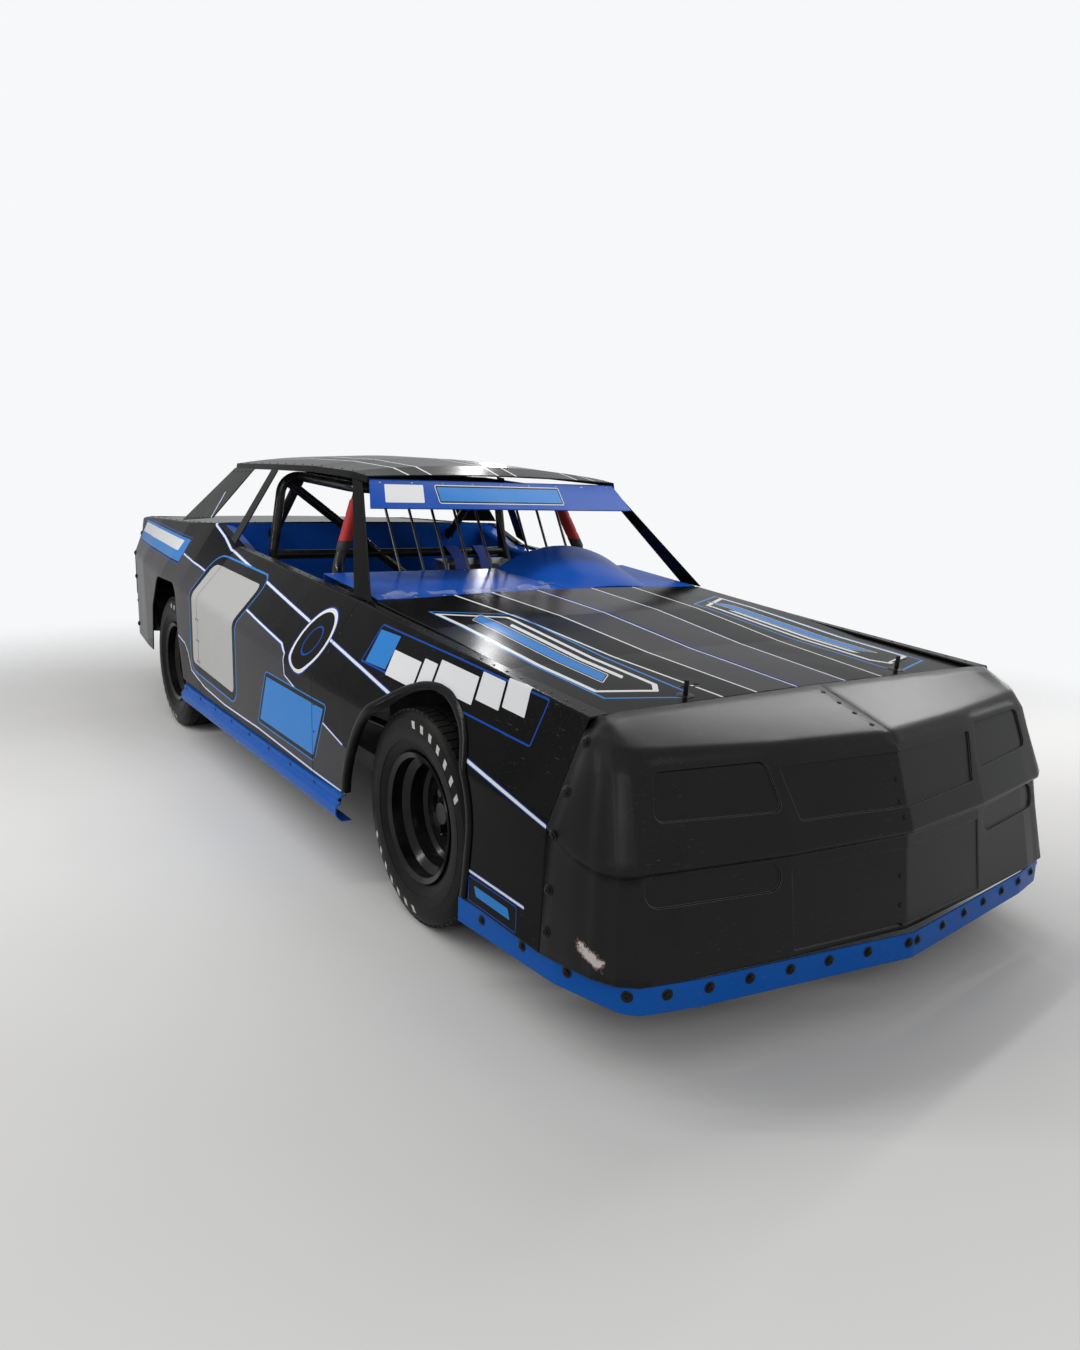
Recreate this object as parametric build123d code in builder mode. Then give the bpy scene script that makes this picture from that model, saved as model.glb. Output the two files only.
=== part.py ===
"""Dirt-track stock car with a sheet-metal body on a tube cage and a perimeter frame.

Millimetres. The origin is on the ground under the middle of the car, +X is the car's left,
the nose points to -Y and +Z is up. A station is a distance behind the front axle.
"""
import os
from math import cos, pi, radians, sin

from build123d import *

os.makedirs("parts", exist_ok=True)

# Stance: where the axles and wheels stand
WHEELBASE = 2743
FRONT_AXLE_Y = -1295.5
REAR_STATION = WHEELBASE
TYRE_RADIUS = 343
TYRE_WIDTH = 258
FRONT_WHEEL_X = 807
REAR_WHEEL_X = 825
KINGPIN_X = 645
SIDES = (("right", -1), ("left", 1))

# Sheet metal and moulded plastic
SHEET = 5
PANEL = 6
COVER = 8
SEAM = 3

# Tubes of the cage
CAGE_TUBE = 44.5
THIN_TUBE = 32
COPE_GAP = 0.5

# Each side of the body, from the nose joint to the tail, as (station, bottom z, bottom x,
# crease z, crease x, top z, top x, inner end of the top flange x)
BODY_SIDE = (
    (-730, 225, 951, 560, 945, 818, 832, 772),
    (0, 225, 958, 630, 965, 868, 812, 772),
    (700, 300, 982, 665, 985, 920, 802, 772),
    (1400, 305, 990, 715, 1000, 957, 800, 760),
    (2100, 312, 992, 765, 1000, 995, 800, 760),
    (2400, 320, 990, 785, 1000, 1088, 806, 770),
    (2750, 335, 985, 805, 998, 1070, 842, 800),
    (3250, 350, 962, 825, 972, 1058, 856, 812),
    (3600, 362, 930, 838, 935, 1048, 860, 815),
)
CREASE_BEND = 75
FLANGE_BEND = 14


def y_at(station):
    return FRONT_AXLE_Y + station


def cross_plane(station):
    """The plane across the car at a station, with its own x to the left and y up."""
    return Plane.XZ.offset(-y_at(station))


def save(piece, name):
    piece.part.label = name
    export_step(piece.part, f"parts/{name}.step")
    return piece


def parallel(points, gap):
    """The open line through points, moved gap to its left, with mitred corners."""
    spots = [Vector(*point) for point in points]
    runs = [(after - before).normalized() for before, after in zip(spots, spots[1:])]
    left = [Vector(-run.Y, run.X) for run in runs]
    moved = [spots[0] + left[0] * gap]
    for spot, side, next_side in zip(spots[1:-1], left, left[1:]):
        middle = (side + next_side).normalized()
        moved.append(spot + middle * (gap / middle.dot(side)))
    moved.append(spots[-1] + left[-1] * gap)
    return moved


def turns(points):
    """For each inner corner of an open line, +1 where it turns left and -1 where right."""
    signs = []
    for before, spot, after in zip(points, points[1:], points[2:]):
        cross = ((spot[0] - before[0]) * (after[1] - spot[1])
                 - (spot[1] - before[1]) * (after[0] - spot[0]))
        signs.append(1 if cross > 0 else -1)
    return signs


def bent_sheet(points, thickness, bends):
    """In the current sketch, a sheet bent along points with its thickness to their left.

    A negative thickness goes to the right. bends are the radii of the drawn face.
    """
    inner_bends = [bend - thickness * turn for bend, turn in zip(bends, turns(points))]
    with BuildLine() as outline:
        face_line = FilletPolyline(*points, radius=bends)
        back_line = FilletPolyline(*parallel(points, thickness), radius=inner_bends)
        Line(face_line @ 0, back_line @ 0)
        Line(face_line @ 1, back_line @ 1)
    make_face(outline.edges())


def folded_sheet(points, thickness):
    """In the current sketch, a sheet folded sharply along points, thick to their left."""
    back = parallel(points, thickness)
    with BuildLine() as outline:
        Polyline(*points, *reversed(back), close=True)
    make_face(outline.edges())


def plate(corners, thickness):
    """In the current part, a flat plate through corners, its back on their drawn side."""
    spots = [Vector(*corner) for corner in corners]
    normal = (spots[1] - spots[0]).cross(spots[2] - spots[0])
    face = Plane(origin=spots[0], x_dir=spots[1] - spots[0], z_dir=normal)
    flat = [face.to_local_coords(spot) for spot in spots]
    with BuildSketch(face) as outline:
        with BuildLine():
            Polyline(*[(spot.X, spot.Y) for spot in flat], close=True)
        make_face()
    extrude(outline.sketch, amount=thickness)


def bar(start, end, diameter, mode=Mode.ADD):
    """In the current part, a straight round bar between two points."""
    start, end = Vector(*start), Vector(*end)
    with BuildSketch(Plane(origin=start, z_dir=end - start)) as section:
        Circle(diameter / 2)
    extrude(section.sketch, amount=(end - start).length, mode=mode)


def bent_bar(points, diameter, bend, mode=Mode.ADD):
    """In the current part, a round bar along straight runs joined by equal bends."""
    with BuildLine() as route:
        FilletPolyline(*points, radius=bend)
    with BuildSketch(Plane(origin=route.line @ 0, z_dir=route.line % 0)) as section:
        Circle(diameter / 2)
    sweep(section.sketch, path=route.line, mode=mode)


def spot_at(x, station, z):
    return (x, y_at(station), z)


# The cage's bars behind and ahead of the main hoop, in the order they are coped to each other.
# Each is a line of (x, station, z) on the left, and whether the right has one too. Several
# panels are cut to clear them
HOOP_STATION = 2060
DASH_STATION = 715
DASH_Z = 880
PANEL_ROOM = 10
CAGE_BEND = 110
LEG_KNEE = (690, 691, 904)
LEG_FOOT = (622, 660, 280)
CAGE_BARS = {
    "front leg": (((497, 1385, 1300), (655, 1285, 930), LEG_KNEE, LEG_FOOT), True),
    "dash": (((-690, DASH_STATION, DASH_Z), (690, DASH_STATION, DASH_Z)), False),
    "front brace": (((450, DASH_STATION, DASH_Z), (400, -620, 357)), True),
    "rear brace": (((505, HOOP_STATION, 1318), (520, 2980, 596)), True),
    "harness": (((-640, HOOP_STATION, 960), (640, HOOP_STATION, 960)), False),
    "hoop diagonal": (((-560, HOOP_STATION, 1300), (640, HOOP_STATION, 420)), False),
}


def cage_lines(name):
    """The centre line of each bar of that name."""
    line, paired = CAGE_BARS[name]
    return [[spot_at(sign * x, station, z) for x, station, z in line]
            for sign in ((1, -1) if paired else (1,))]


def cage_tubes(name, room=0, mode=Mode.ADD):
    """In the current part, the bars of that name, thicker by room."""
    for line in cage_lines(name):
        cage_tube(line, room, mode)


def cage_tube(line, room=0, mode=Mode.ADD):
    if len(line) == 2:
        bar(*line, CAGE_TUBE + room, mode)
    else:
        bent_bar(line, CAGE_TUBE + room, CAGE_BEND, mode)


# Body sides: fender, door and quarter panel, each bent at a crease and over at the top

SKIRT_TOP = 296
SKIRT_LAP = 3
# Wheel arches seen from the side, as (station, z) from the front foot to the rear one
FRONT_ARCH = (
    (-325, 100), (-356, 300), (-378, 480), (-300, 665), (-95, 762),
    (85, 735), (312, 588), (425, 385), (443, 100),
)
FRONT_ARCH_BENDS = (300, 300, 290, 300, 380, 420, 400)
REAR_ARCH = (
    (2290, 100), (2400, 300), (2468, 520), (2478, 786),
    (2860, 786), (3045, 600), (3125, 300), (3150, 100),
)
REAR_ARCH_BENDS = (60, 80, 70, 120, 90, 60)
ARCH_REACH = 400


def side_panel(rows, sign):
    with BuildPart() as panel:
        last = len(rows) - 1
        for index, (station, low_z, low_x, crease_z, crease_x, top_z, top_x, in_x) in enumerate(rows):
            inset = SEAM / 2 * ((index == 0) - (index == last))
            with BuildSketch(cross_plane(station + inset)):
                bent_sheet(
                    ((sign * low_x, low_z), (sign * crease_x, crease_z),
                     (sign * top_x, top_z), (sign * in_x, top_z + 2)),
                    sign * PANEL, (CREASE_BEND, FLANGE_BEND))
        loft(ruled=True)
    return panel


def cut_arch(spots, bends, sign):
    """In the current part, the wheel arch cut through the side panel."""
    with BuildSketch(Plane.YZ.offset(sign * 700)) as arch:
        with BuildLine():
            edge = FilletPolyline(*[(y_at(station), z) for station, z in spots], radius=bends)
            Line(edge @ 0, edge @ 1)
        make_face()
    extrude(arch.sketch, amount=sign * ARCH_REACH, mode=Mode.SUBTRACT)


for side, sign in SIDES:
    with BuildPart() as fender:
        add(side_panel(BODY_SIDE[0:3], sign).part)
        cut_arch(FRONT_ARCH, FRONT_ARCH_BENDS, sign)
        # the foot behind the wheel stops where the rocker skirt takes over
        with Locations((sign * 900, y_at(600), (SKIRT_TOP + SKIRT_LAP) / 2)):
            Box(400, 400, SKIRT_TOP + SKIRT_LAP, mode=Mode.SUBTRACT)
    save(fender, f"fender_{side}")
    save(side_panel(BODY_SIDE[2:5], sign), f"door_{side}")
    with BuildPart() as quarter:
        add(side_panel(BODY_SIDE[4:9], sign).part)
        cut_arch(REAR_ARCH, REAR_ARCH_BENDS, sign)
    save(quarter, f"quarter_{side}")

# Rocker skirts: a low formed strip along each sill between the wheels, open at its ends

SKIRT_FRONT_STATION = 436
SKIRT_REAR_STATION = 2395
SKIRT_LINE = ((948, 200), (984, 200), (1006, 226), (1004, 258), (988, 268), (991, 289), (968, SKIRT_TOP))
SKIRT_BENDS = (18, 20, 9, 7, 8)
SKIRT_WALL = 4
with BuildPart() as rocker_skirts:
    for side, sign in SIDES:
        skirt_line = [(sign * x, z) for x, z in SKIRT_LINE]
        with BuildSketch(cross_plane(SKIRT_FRONT_STATION)) as wall:
            bent_sheet(skirt_line, sign * SKIRT_WALL, SKIRT_BENDS)
        extrude(wall.sketch, amount=SKIRT_FRONT_STATION - SKIRT_REAR_STATION)
save(rocker_skirts, "rocker_skirts")

# Nose: a moulded cover in two halves joined on the centre line, with sunk dummy lamps. Its
# sections stand across the front, then fan round the corner to lie flush with the fender.
# Rows are (plane x, plane station, outward heading in degrees from straight ahead), then
# (out, z) of the rear lip, top, brow, ledge, under-ledge and bottom
FAN_X = 788
FAN_STATION = -732
NOSE_SECTIONS = (
    (1, 0, 0, (726, 826), (982, 747), (1022, 697), (1093, 494), (1074, 482), (1106, 225)),
    (400, 0, 0, (726, 823), (925, 748), (962, 698), (1042, 491), (1023, 479), (1062, 225)),
    (730, 0, 0, (728, 821), (862, 757), (900, 704), (978, 489), (959, 477), (1018, 225)),
    (FAN_X, FAN_STATION, 0, (8, 820), (117, 760), (155, 707), (233, 489), (214, 477), (272, 225)),
    (FAN_X, FAN_STATION, 12, (9, 820), (109, 761), (149, 708), (229, 489), (210, 477), (268, 225)),
    (FAN_X, FAN_STATION, 24, (10, 820), (97, 764), (137, 709), (222, 490), (203, 478), (248, 225)),
    (FAN_X, FAN_STATION, 38, (11, 820), (80, 767), (117, 711), (198, 495), (181, 483), (211, 225)),
    (FAN_X, FAN_STATION, 58, (12, 820), (64, 773), (94, 713), (166, 512), (155, 499), (173, 225)),
    (FAN_X, FAN_STATION, 90, (14, 820), (61, 779), (89, 715), (157, 556), (153, 542), (163, 225)),
)
NOSE_BENDS = (26, 30, 13, 8)


def heading_plane(x, station, heading, sign):
    """An upright plane whose own x points outward at a heading from straight ahead."""
    outward = Vector(sign * sin(radians(heading)), -cos(radians(heading)), 0)
    return Plane(origin=(sign * x, y_at(station), 0), x_dir=outward,
                 z_dir=outward.cross(Vector(0, 0, 1)))


# Panels sunk into the moulding where a road car has lamps and intakes: corners (x, z) seen
# from the front, the radius of the corners and how deep the panel lies
SUNK_PANELS = (
    (((756, 712), (773, 599), (411, 591), (437, 712)), 22, 6.5),
    (((402, 697), (365, 565), (0, 560), (0, 700)), 10, 6.5),
    (((806, 474), (810, 400), (428, 396), (428, 470)), 34, 6),
    (((395, 446), (395, 238), (0, 238), (0, 446)), 6, 3),
)


def sink_panel(wall, corners, corner_radius, depth, sign):
    """The wall with the panel inside an outline moved back by less than its thickness."""
    with BuildSketch(Plane.XZ.offset(-y_at(-800))) as outline:
        with BuildLine():
            Polyline(*[(sign * x, z) for x, z in corners], close=True)
        make_face()
        fillet([spot for spot in outline.vertices() if abs(spot.X) > 1], corner_radius)
    prism = extrude(outline.sketch, amount=400)
    panel = wall.moved(Location((0, depth, 0))) & prism
    return wall - prism + panel


def nose_half(sign):
    with BuildPart() as half:
        for x, station, heading, *profile in NOSE_SECTIONS:
            with BuildSketch(heading_plane(x, station, heading, sign)):
                bent_sheet(profile, -COVER, NOSE_BENDS)
        loft(ruled=True)
    wall = half.part
    for corners, corner_radius, depth in SUNK_PANELS:
        wall = sink_panel(wall, corners, corner_radius, depth, sign)
    with BuildPart() as finished:
        add(wall)
    return finished


for side, sign in SIDES:
    save(nose_half(sign), f"nose_{side}")

# Nose strip: a band of sheet plastic that wraps the foot of the nose and runs to the wheels

STRIP_LOW = 150
STRIP_HIGH = 222
STRIP_LINE = ((0, -1130), (675, -1030), (862, -985), (925, -760), (957, -330))
STRIP_BENDS = (60, 90, 110)
STRIP_PEAK_BEND = 9
with BuildPart() as nose_strip:
    right_run = [(-x, y_at(station)) for x, station in reversed(STRIP_LINE[1:])]
    left_run = [(x, y_at(station)) for x, station in STRIP_LINE]
    with BuildSketch(Plane.XY.offset(STRIP_LOW)):
        bent_sheet(right_run + left_run, SHEET, STRIP_BENDS[::-1] + (STRIP_PEAK_BEND,) + STRIP_BENDS)
    extrude(amount=STRIP_HIGH - STRIP_LOW)
save(nose_strip, "nose_strip")

# Tail: a moulded cover across the back, made like the nose, in one piece.
# Rows are (plane x, plane station, heading from straight back), then (out, z) points
TAIL_SECTIONS = (
    (0, 0, 0, (3612, 1050), (3690, 1040), (3722, 838), (3700, 600), (3682, 590), (3560, 360)),
    (700, 0, 0, (3612, 1050), (3684, 1040), (3716, 838), (3694, 600), (3676, 590), (3556, 360)),
    (740, 3560, 45, (120, 1049), (172, 1038), (205, 838), (185, 600), (170, 592), (140, 360)),
    (0, 3604, 90, (840, 1048), (862, 1036), (936, 838), (934, 600), (922, 590), (928, 362)),
)
TAIL_BENDS = (20, 60, 13, 8)


def tail_plane(x, station, heading, sign):
    """An upright plane whose own x points outward at a heading from straight back."""
    outward = Vector(sign * sin(radians(heading)), cos(radians(heading)), 0)
    return Plane(origin=(sign * x, y_at(station), 0), x_dir=outward,
                 z_dir=outward.cross(Vector(0, 0, 1)))


with BuildPart() as tail_cover:
    right_rows = [(row, -1) for row in reversed(TAIL_SECTIONS[1:])]
    left_rows = [(row, 1) for row in TAIL_SECTIONS]
    for (x, station, heading, *profile), sign in right_rows + left_rows:
        with BuildSketch(tail_plane(x, station, heading, sign)):
            bent_sheet(profile, -COVER, TAIL_BENDS)
    loft(ruled=True)
save(tail_cover, "tail_cover")

# Hood: one crowned sheet between the fenders, lifting at its front about the cowl

HOOD_HALF = 765
# (station, edge z, crown z)
HOOD_SECTIONS = ((-705, 810, 821), (-250, 844, 858), (200, 892, 912), (628, 926, 942))


def crowned_sheet(rows, half_width, thickness):
    """A sheet with a round crown across the car, from rows of (station, edge z, crown z)."""
    with BuildPart() as sheet:
        for station, edge_z, crown_z in rows:
            with BuildSketch(cross_plane(station)):
                with BuildLine():
                    top = ThreePointArc((-half_width, edge_z), (0, crown_z), (half_width, edge_z))
                    low = ThreePointArc((-half_width, edge_z - thickness), (0, crown_z - thickness),
                                        (half_width, edge_z - thickness))
                    Line(top @ 0, low @ 0)
                    Line(top @ 1, low @ 1)
                make_face()
        loft(ruled=True)
    return sheet


hood = crowned_sheet(HOOD_SECTIONS, HOOD_HALF, PANEL)
save(hood, "hood")

# Cowl deck: the sheet behind the hood, and the driver's cowl that humps up over the wheel

# The deck's front and rear edge as (station, z)
DECK_FRONT = (636, 930)
DECK_REAR = (1150, 970)
# The hump's front and rear arch as (station, right foot x, left foot x, rise)
HUMP_FRONT = (646, 95, 500, 12)
HUMP_REAR = (1150, 50, 720, 96)


def hump_face(station, low_x, high_x, rise, deck_z, inset):
    """Across the car, the arch of the driver's cowl between its two feet."""
    with BuildSketch(cross_plane(station)) as face:
        with BuildLine():
            left, right = (low_x + inset, deck_z), (high_x - inset, deck_z)
            middle_x = low_x + 0.44 * (high_x - low_x)
            top = ThreePointArc(left, (middle_x, deck_z + rise - inset), right)
            Line(top @ 1, top @ 0)
        make_face()
    return face.sketch


with BuildPart() as cowl_hump:
    loft([hump_face(HUMP_FRONT[0], *HUMP_FRONT[1:], DECK_FRONT[1] + 1, 0),
          hump_face(HUMP_REAR[0], *HUMP_REAR[1:], DECK_REAR[1], 0)], ruled=True)
    loft([hump_face(HUMP_FRONT[0] - 1, *HUMP_FRONT[1:], DECK_FRONT[1] - 6, SHEET),
          hump_face(HUMP_REAR[0] + 1, *HUMP_REAR[1:], DECK_REAR[1] - 6, SHEET)],
         ruled=True, mode=Mode.SUBTRACT)
save(cowl_hump, "cowl_hump")

with BuildPart() as cowl_deck:
    deck_side = [(y_at(DECK_FRONT[0]), DECK_FRONT[1]), (y_at(DECK_REAR[0]), DECK_REAR[1])]
    with BuildSketch(Plane.YZ.offset(-755)):
        with BuildLine():
            Polyline(*deck_side, (deck_side[1][0], deck_side[1][1] - 40),
                     (deck_side[1][0] - 4, deck_side[1][1] - 40),
                     (deck_side[1][0] - 4, deck_side[1][1] - 4), (deck_side[0][0], deck_side[0][1] - 4),
                     close=True)
        make_face()
    extrude(amount=1510)
    with BuildSketch(Plane.XY.offset(800)):
        with BuildLine():
            Polyline((HUMP_FRONT[1] + 12, y_at(700)), (HUMP_FRONT[2] - 12, y_at(700)),
                     (HUMP_REAR[2] - 12, y_at(1200)), (HUMP_REAR[1] + 12, y_at(1200)), close=True)
        make_face()
    extrude(amount=300, mode=Mode.SUBTRACT)
    cage_tubes("front leg", PANEL_ROOM, Mode.SUBTRACT)
save(cowl_deck, "cowl_deck")

# Side ledges: bent sheets inside each door, from the cowl back to the bulkhead.
# Rows are (station, z at the sill)
LEDGE_ROWS = ((1156, 934), (2100, 986), (2400, 1078))
LEDGE_DROP = 120
with BuildPart() as side_ledges:
    for side, sign in SIDES:
        faces = []
        for station, sill_z in LEDGE_ROWS:
            with BuildSketch(cross_plane(station)) as ledge_face:
                bent_sheet(((sign * 773, sill_z), (sign * 704, sill_z - 14),
                            (sign * 702, sill_z - LEDGE_DROP)), sign * -4, (20,))
            faces.append(ledge_face.sketch)
        loft(faces, ruled=True)
save(side_ledges, "side_ledges")

# Rear deck, bulkhead and the lid over the fuel cell

BULKHEAD_STATION = 2425
REAR_DECK_ROWS = ((2430, 1088, 1094), (2750, 1070, 1080), (2990, 1062, 1074))
LID_ROWS = ((2998, 1061, 1073), (3250, 1056, 1068), (3596, 1046, 1058))
LID_HALF = 790
rear_deck = crowned_sheet(REAR_DECK_ROWS, 764, SHEET)
save(rear_deck, "rear_deck")
deck_lid = crowned_sheet(LID_ROWS, LID_HALF, PANEL)
save(deck_lid, "deck_lid")

with BuildPart() as rear_bulkhead:
    plate((spot_at(-764, BULKHEAD_STATION, 1086), spot_at(764, BULKHEAD_STATION, 1086),
           spot_at(745, BULKHEAD_STATION, 640), spot_at(-745, BULKHEAD_STATION, 640)), SHEET)
    cage_tubes("rear brace", PANEL_ROOM, Mode.SUBTRACT)
save(rear_bulkhead, "rear_bulkhead")

# Roof: a crowned panel with its side edges bent down. Rows are (station, half, edge z, crown z)
ROOF_ROWS = (
    (1062, 608, 1356, 1372),
    (1200, 614, 1371, 1408),
    (1600, 618, 1384, 1436),
    (2100, 618, 1383, 1444),
    (2700, 604, 1377, 1432),
)
ROOF_DRIP = 26
with BuildPart() as roof:
    for station, half, edge_z, crown_z in ROOF_ROWS:
        with BuildSketch(cross_plane(station)):
            with BuildLine():
                top = ThreePointArc((-half, edge_z), (0, crown_z), (half, edge_z))
                low = ThreePointArc((SHEET - half, edge_z - SHEET), (0, crown_z - SHEET),
                                    (half - SHEET, edge_z - SHEET))
                for sign, end in ((-1, 0), (1, 1)):
                    Polyline(top @ end, (sign * (half + 6), edge_z - ROOF_DRIP),
                             (sign * (half + 1), edge_z - ROOF_DRIP - 1), low @ end)
            make_face()
    loft(ruled=True)
save(roof, "roof")

# Posts and sail panels: plates from the sills to the roof, and the visor between the front posts.
# Corners are (x, station, z) on the car's left
FRONT_POST = ((789, 640, 924), (789, 768, 930), (616, 1178, 1340), (613, 1090, 1328))
CENTRE_POST = ((801, 2086, 1003), (801, 2172, 1026), (622, 2112, 1354), (622, 2026, 1354))
SAIL_PANEL = ((804, 2410, 1099), (836, 2890, 1073), (612, 2700, 1350), (618, 2372, 1355))
VISOR = ((640, 962, 1236), (598, 1066, 1345))

for corners, name in ((FRONT_POST, "front_posts"), (CENTRE_POST, "centre_posts"),
                      (SAIL_PANEL, "sail_panels")):
    with BuildPart() as posts:
        for side, sign in SIDES:
            spots = [spot_at(sign * x, station, z) for x, station, z in corners]
            plate(spots[::sign], SHEET)
    save(posts, name)

with BuildPart() as visor:
    (low_x, low_station, low_z), (high_x, high_station, high_z) = VISOR
    plate((spot_at(-high_x, high_station, high_z), spot_at(high_x, high_station, high_z),
           spot_at(low_x, low_station, low_z), spot_at(-low_x, low_station, low_z)), 4)
save(visor, "visor")

# Perimeter frame: one bent box-section rail on each side. Rows are (station, x, z)

RAIL_WIDTH = 50
RAIL_HEIGHT = 100
RAIL_ROWS = (
    (-900, 400, 330), (300, 400, 330), (640, 620, 252), (2100, 620, 252),
    (2320, 520, 330), (2500, 520, 560), (3020, 520, 560), (3240, 520, 430), (3420, 520, 430),
)


def rail_pair(extra):
    """Both rails, made larger all round by extra."""
    with BuildPart() as rails:
        for side, sign in SIDES:
            faces = []
            for station, x, z in RAIL_ROWS:
                with BuildSketch(cross_plane(station)) as rail_face:
                    with Locations((sign * x, z)):
                        Rectangle(RAIL_WIDTH + 2 * extra, RAIL_HEIGHT + 2 * extra)
                faces.append(rail_face.sketch)
            loft(faces, ruled=True)
    return rails


frame_rails = rail_pair(0)
save(frame_rails, "frame_rails")

# Crossmembers between, under and on the rails: (station, z, half length, depth, height)
RAIL_GAP = 0.3
CROSSMEMBERS = (
    (-745, 330, 375, 60, 99),
    (0, 239.7, 425, 240, 80),
    (990, 252, 595, 40, 60),
    (1600, 252, 595, 40, 60),
    (2080, 252, 595, 40, 60),
    (2743, 636.3, 545, 50, 52),
    (3260, 430, 495, 40, 60),
    (3398, 430, 495, 40, 60),
)
# The spring towers stand on the rails over the front axle
TOWER_HALF = 100
TOWER_TOP = 505
SPRING_PERCH_Z = 440
with BuildPart() as frame_crossmembers:
    for station, z, half, depth, height in CROSSMEMBERS:
        with Locations((0, y_at(station), z)):
            Box(2 * (half - RAIL_GAP), depth, height)
    for side, sign in SIDES:
        with BuildSketch(cross_plane(-TOWER_HALF)):
            with BuildLine():
                Polyline((sign * 382, 380.3), (sign * 425, 380.3), (sign * 425, SPRING_PERCH_Z),
                         (sign * 556, SPRING_PERCH_Z), (sign * 556, SPRING_PERCH_Z + 8),
                         (sign * 425, SPRING_PERCH_Z + 8), (sign * 425, TOWER_TOP),
                         (sign * 382, TOWER_TOP), close=True)
            make_face()
        extrude(amount=-2 * TOWER_HALF)
save(frame_crossmembers, "frame_crossmembers")

# Cage: main hoop, roof halo, straight bars coped to what they meet, door bars

HOOP_FOOT_Z = RAIL_ROWS[3][2] + RAIL_HEIGHT / 2 + RAIL_GAP
HOOP_LINE = ((-640, HOOP_FOOT_Z), (-640, 980), (-590, 1330), (590, 1330), (640, 980), (640, HOOP_FOOT_Z))
HOOP_BEND = 90
HALO_X = 505
HALO_STATION = 1370
HALO_Z = (1300, 1330)


def hoop_bar(extra, mode=Mode.ADD):
    bent_bar([spot_at(x, HOOP_STATION, z) for x, z in HOOP_LINE], CAGE_TUBE + extra, HOOP_BEND, mode)


def halo_bar(extra, mode=Mode.ADD):
    line = ((-HALO_X, HOOP_STATION, HALO_Z[1]), (-HALO_X - 10, HALO_STATION, HALO_Z[0]),
            (HALO_X + 10, HALO_STATION, HALO_Z[0]), (HALO_X, HOOP_STATION, HALO_Z[1]))
    bent_bar([spot_at(*spot) for spot in line], CAGE_TUBE + extra, HOOP_BEND, mode)


with BuildPart() as main_hoop:
    hoop_bar(0)
save(main_hoop, "main_hoop")

with BuildPart() as roof_halo:
    halo_bar(0)
    hoop_bar(2 * COPE_GAP, Mode.SUBTRACT)
save(roof_halo, "roof_halo")

COPE_CHIP = 20000  # mm3, what coping leaves beyond the far side of a tube
cage_solids = []
placed_names = []
for name in CAGE_BARS:
    with BuildPart() as tubes:
        cage_tubes(name)
        hoop_bar(2 * COPE_GAP, Mode.SUBTRACT)
        halo_bar(2 * COPE_GAP, Mode.SUBTRACT)
        add(rail_pair(COPE_GAP).part, mode=Mode.SUBTRACT)
        for placed in placed_names:
            cage_tubes(placed, 2 * COPE_GAP, Mode.SUBTRACT)
    placed_names.append(name)
    cage_solids += [tube for tube in tubes.part.solids() if tube.volume > COPE_CHIP]
with BuildPart() as cage_bars:
    add(cage_solids)
save(cage_bars, "cage_bars")

# Door bars: bowed out beside the driver, straight on the other side
DOOR_BAR_HEIGHTS = {"left": (400, 530, 660, 790), "right": (430, 600, 770)}
DOOR_BAR_BOWS = {"left": 800, "right": 678}
with BuildPart() as door_bars:
    for side, sign in SIDES:
        bow = DOOR_BAR_BOWS[side]
        for z in DOOR_BAR_HEIGHTS[side]:
            share = (z - LEG_FOOT[2]) / (LEG_KNEE[2] - LEG_FOOT[2])
            leg_x = LEG_FOOT[0] + share * (LEG_KNEE[0] - LEG_FOOT[0])
            leg_station = LEG_FOOT[1] + share * (LEG_KNEE[1] - LEG_FOOT[1])
            line = ((leg_x + 16, leg_station + 24), (bow, 1000), (bow, 1760), (662, HOOP_STATION - 10))
            bent_bar([spot_at(sign * x, station, z) for x, station in line], CAGE_TUBE - 6, 150)
    cage_tubes("front leg", 2 * COPE_GAP, Mode.SUBTRACT)
    hoop_bar(2 * COPE_GAP, Mode.SUBTRACT)
save(door_bars, "door_bars")

# Windshield bars: thin rods from the front of the halo to the cowl deck

ROD_COUNT = 9
ROD_PITCH = 110
ROD_FIRST_X = -408
ROD_DIAMETER = 12
ROD_FOOT = (1160, 946)
ROD_HEAD = (HALO_STATION, HALO_Z[0])
with BuildPart() as windshield_bars:
    for index in range(ROD_COUNT):
        x = ROD_FIRST_X + index * ROD_PITCH
        bar(spot_at(x, *ROD_FOOT), spot_at(x, *ROD_HEAD), ROD_DIAMETER)
    halo_bar(2 * COPE_GAP, Mode.SUBTRACT)
save(windshield_bars, "windshield_bars")

# Bumper bars: two uprights and two cross tubes at each end of the frame
BUMPERS = ((-916.4, -949, 400, 500, (300, 460)), (3436.4, 3469, 520, 640, (400, 560)))
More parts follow.
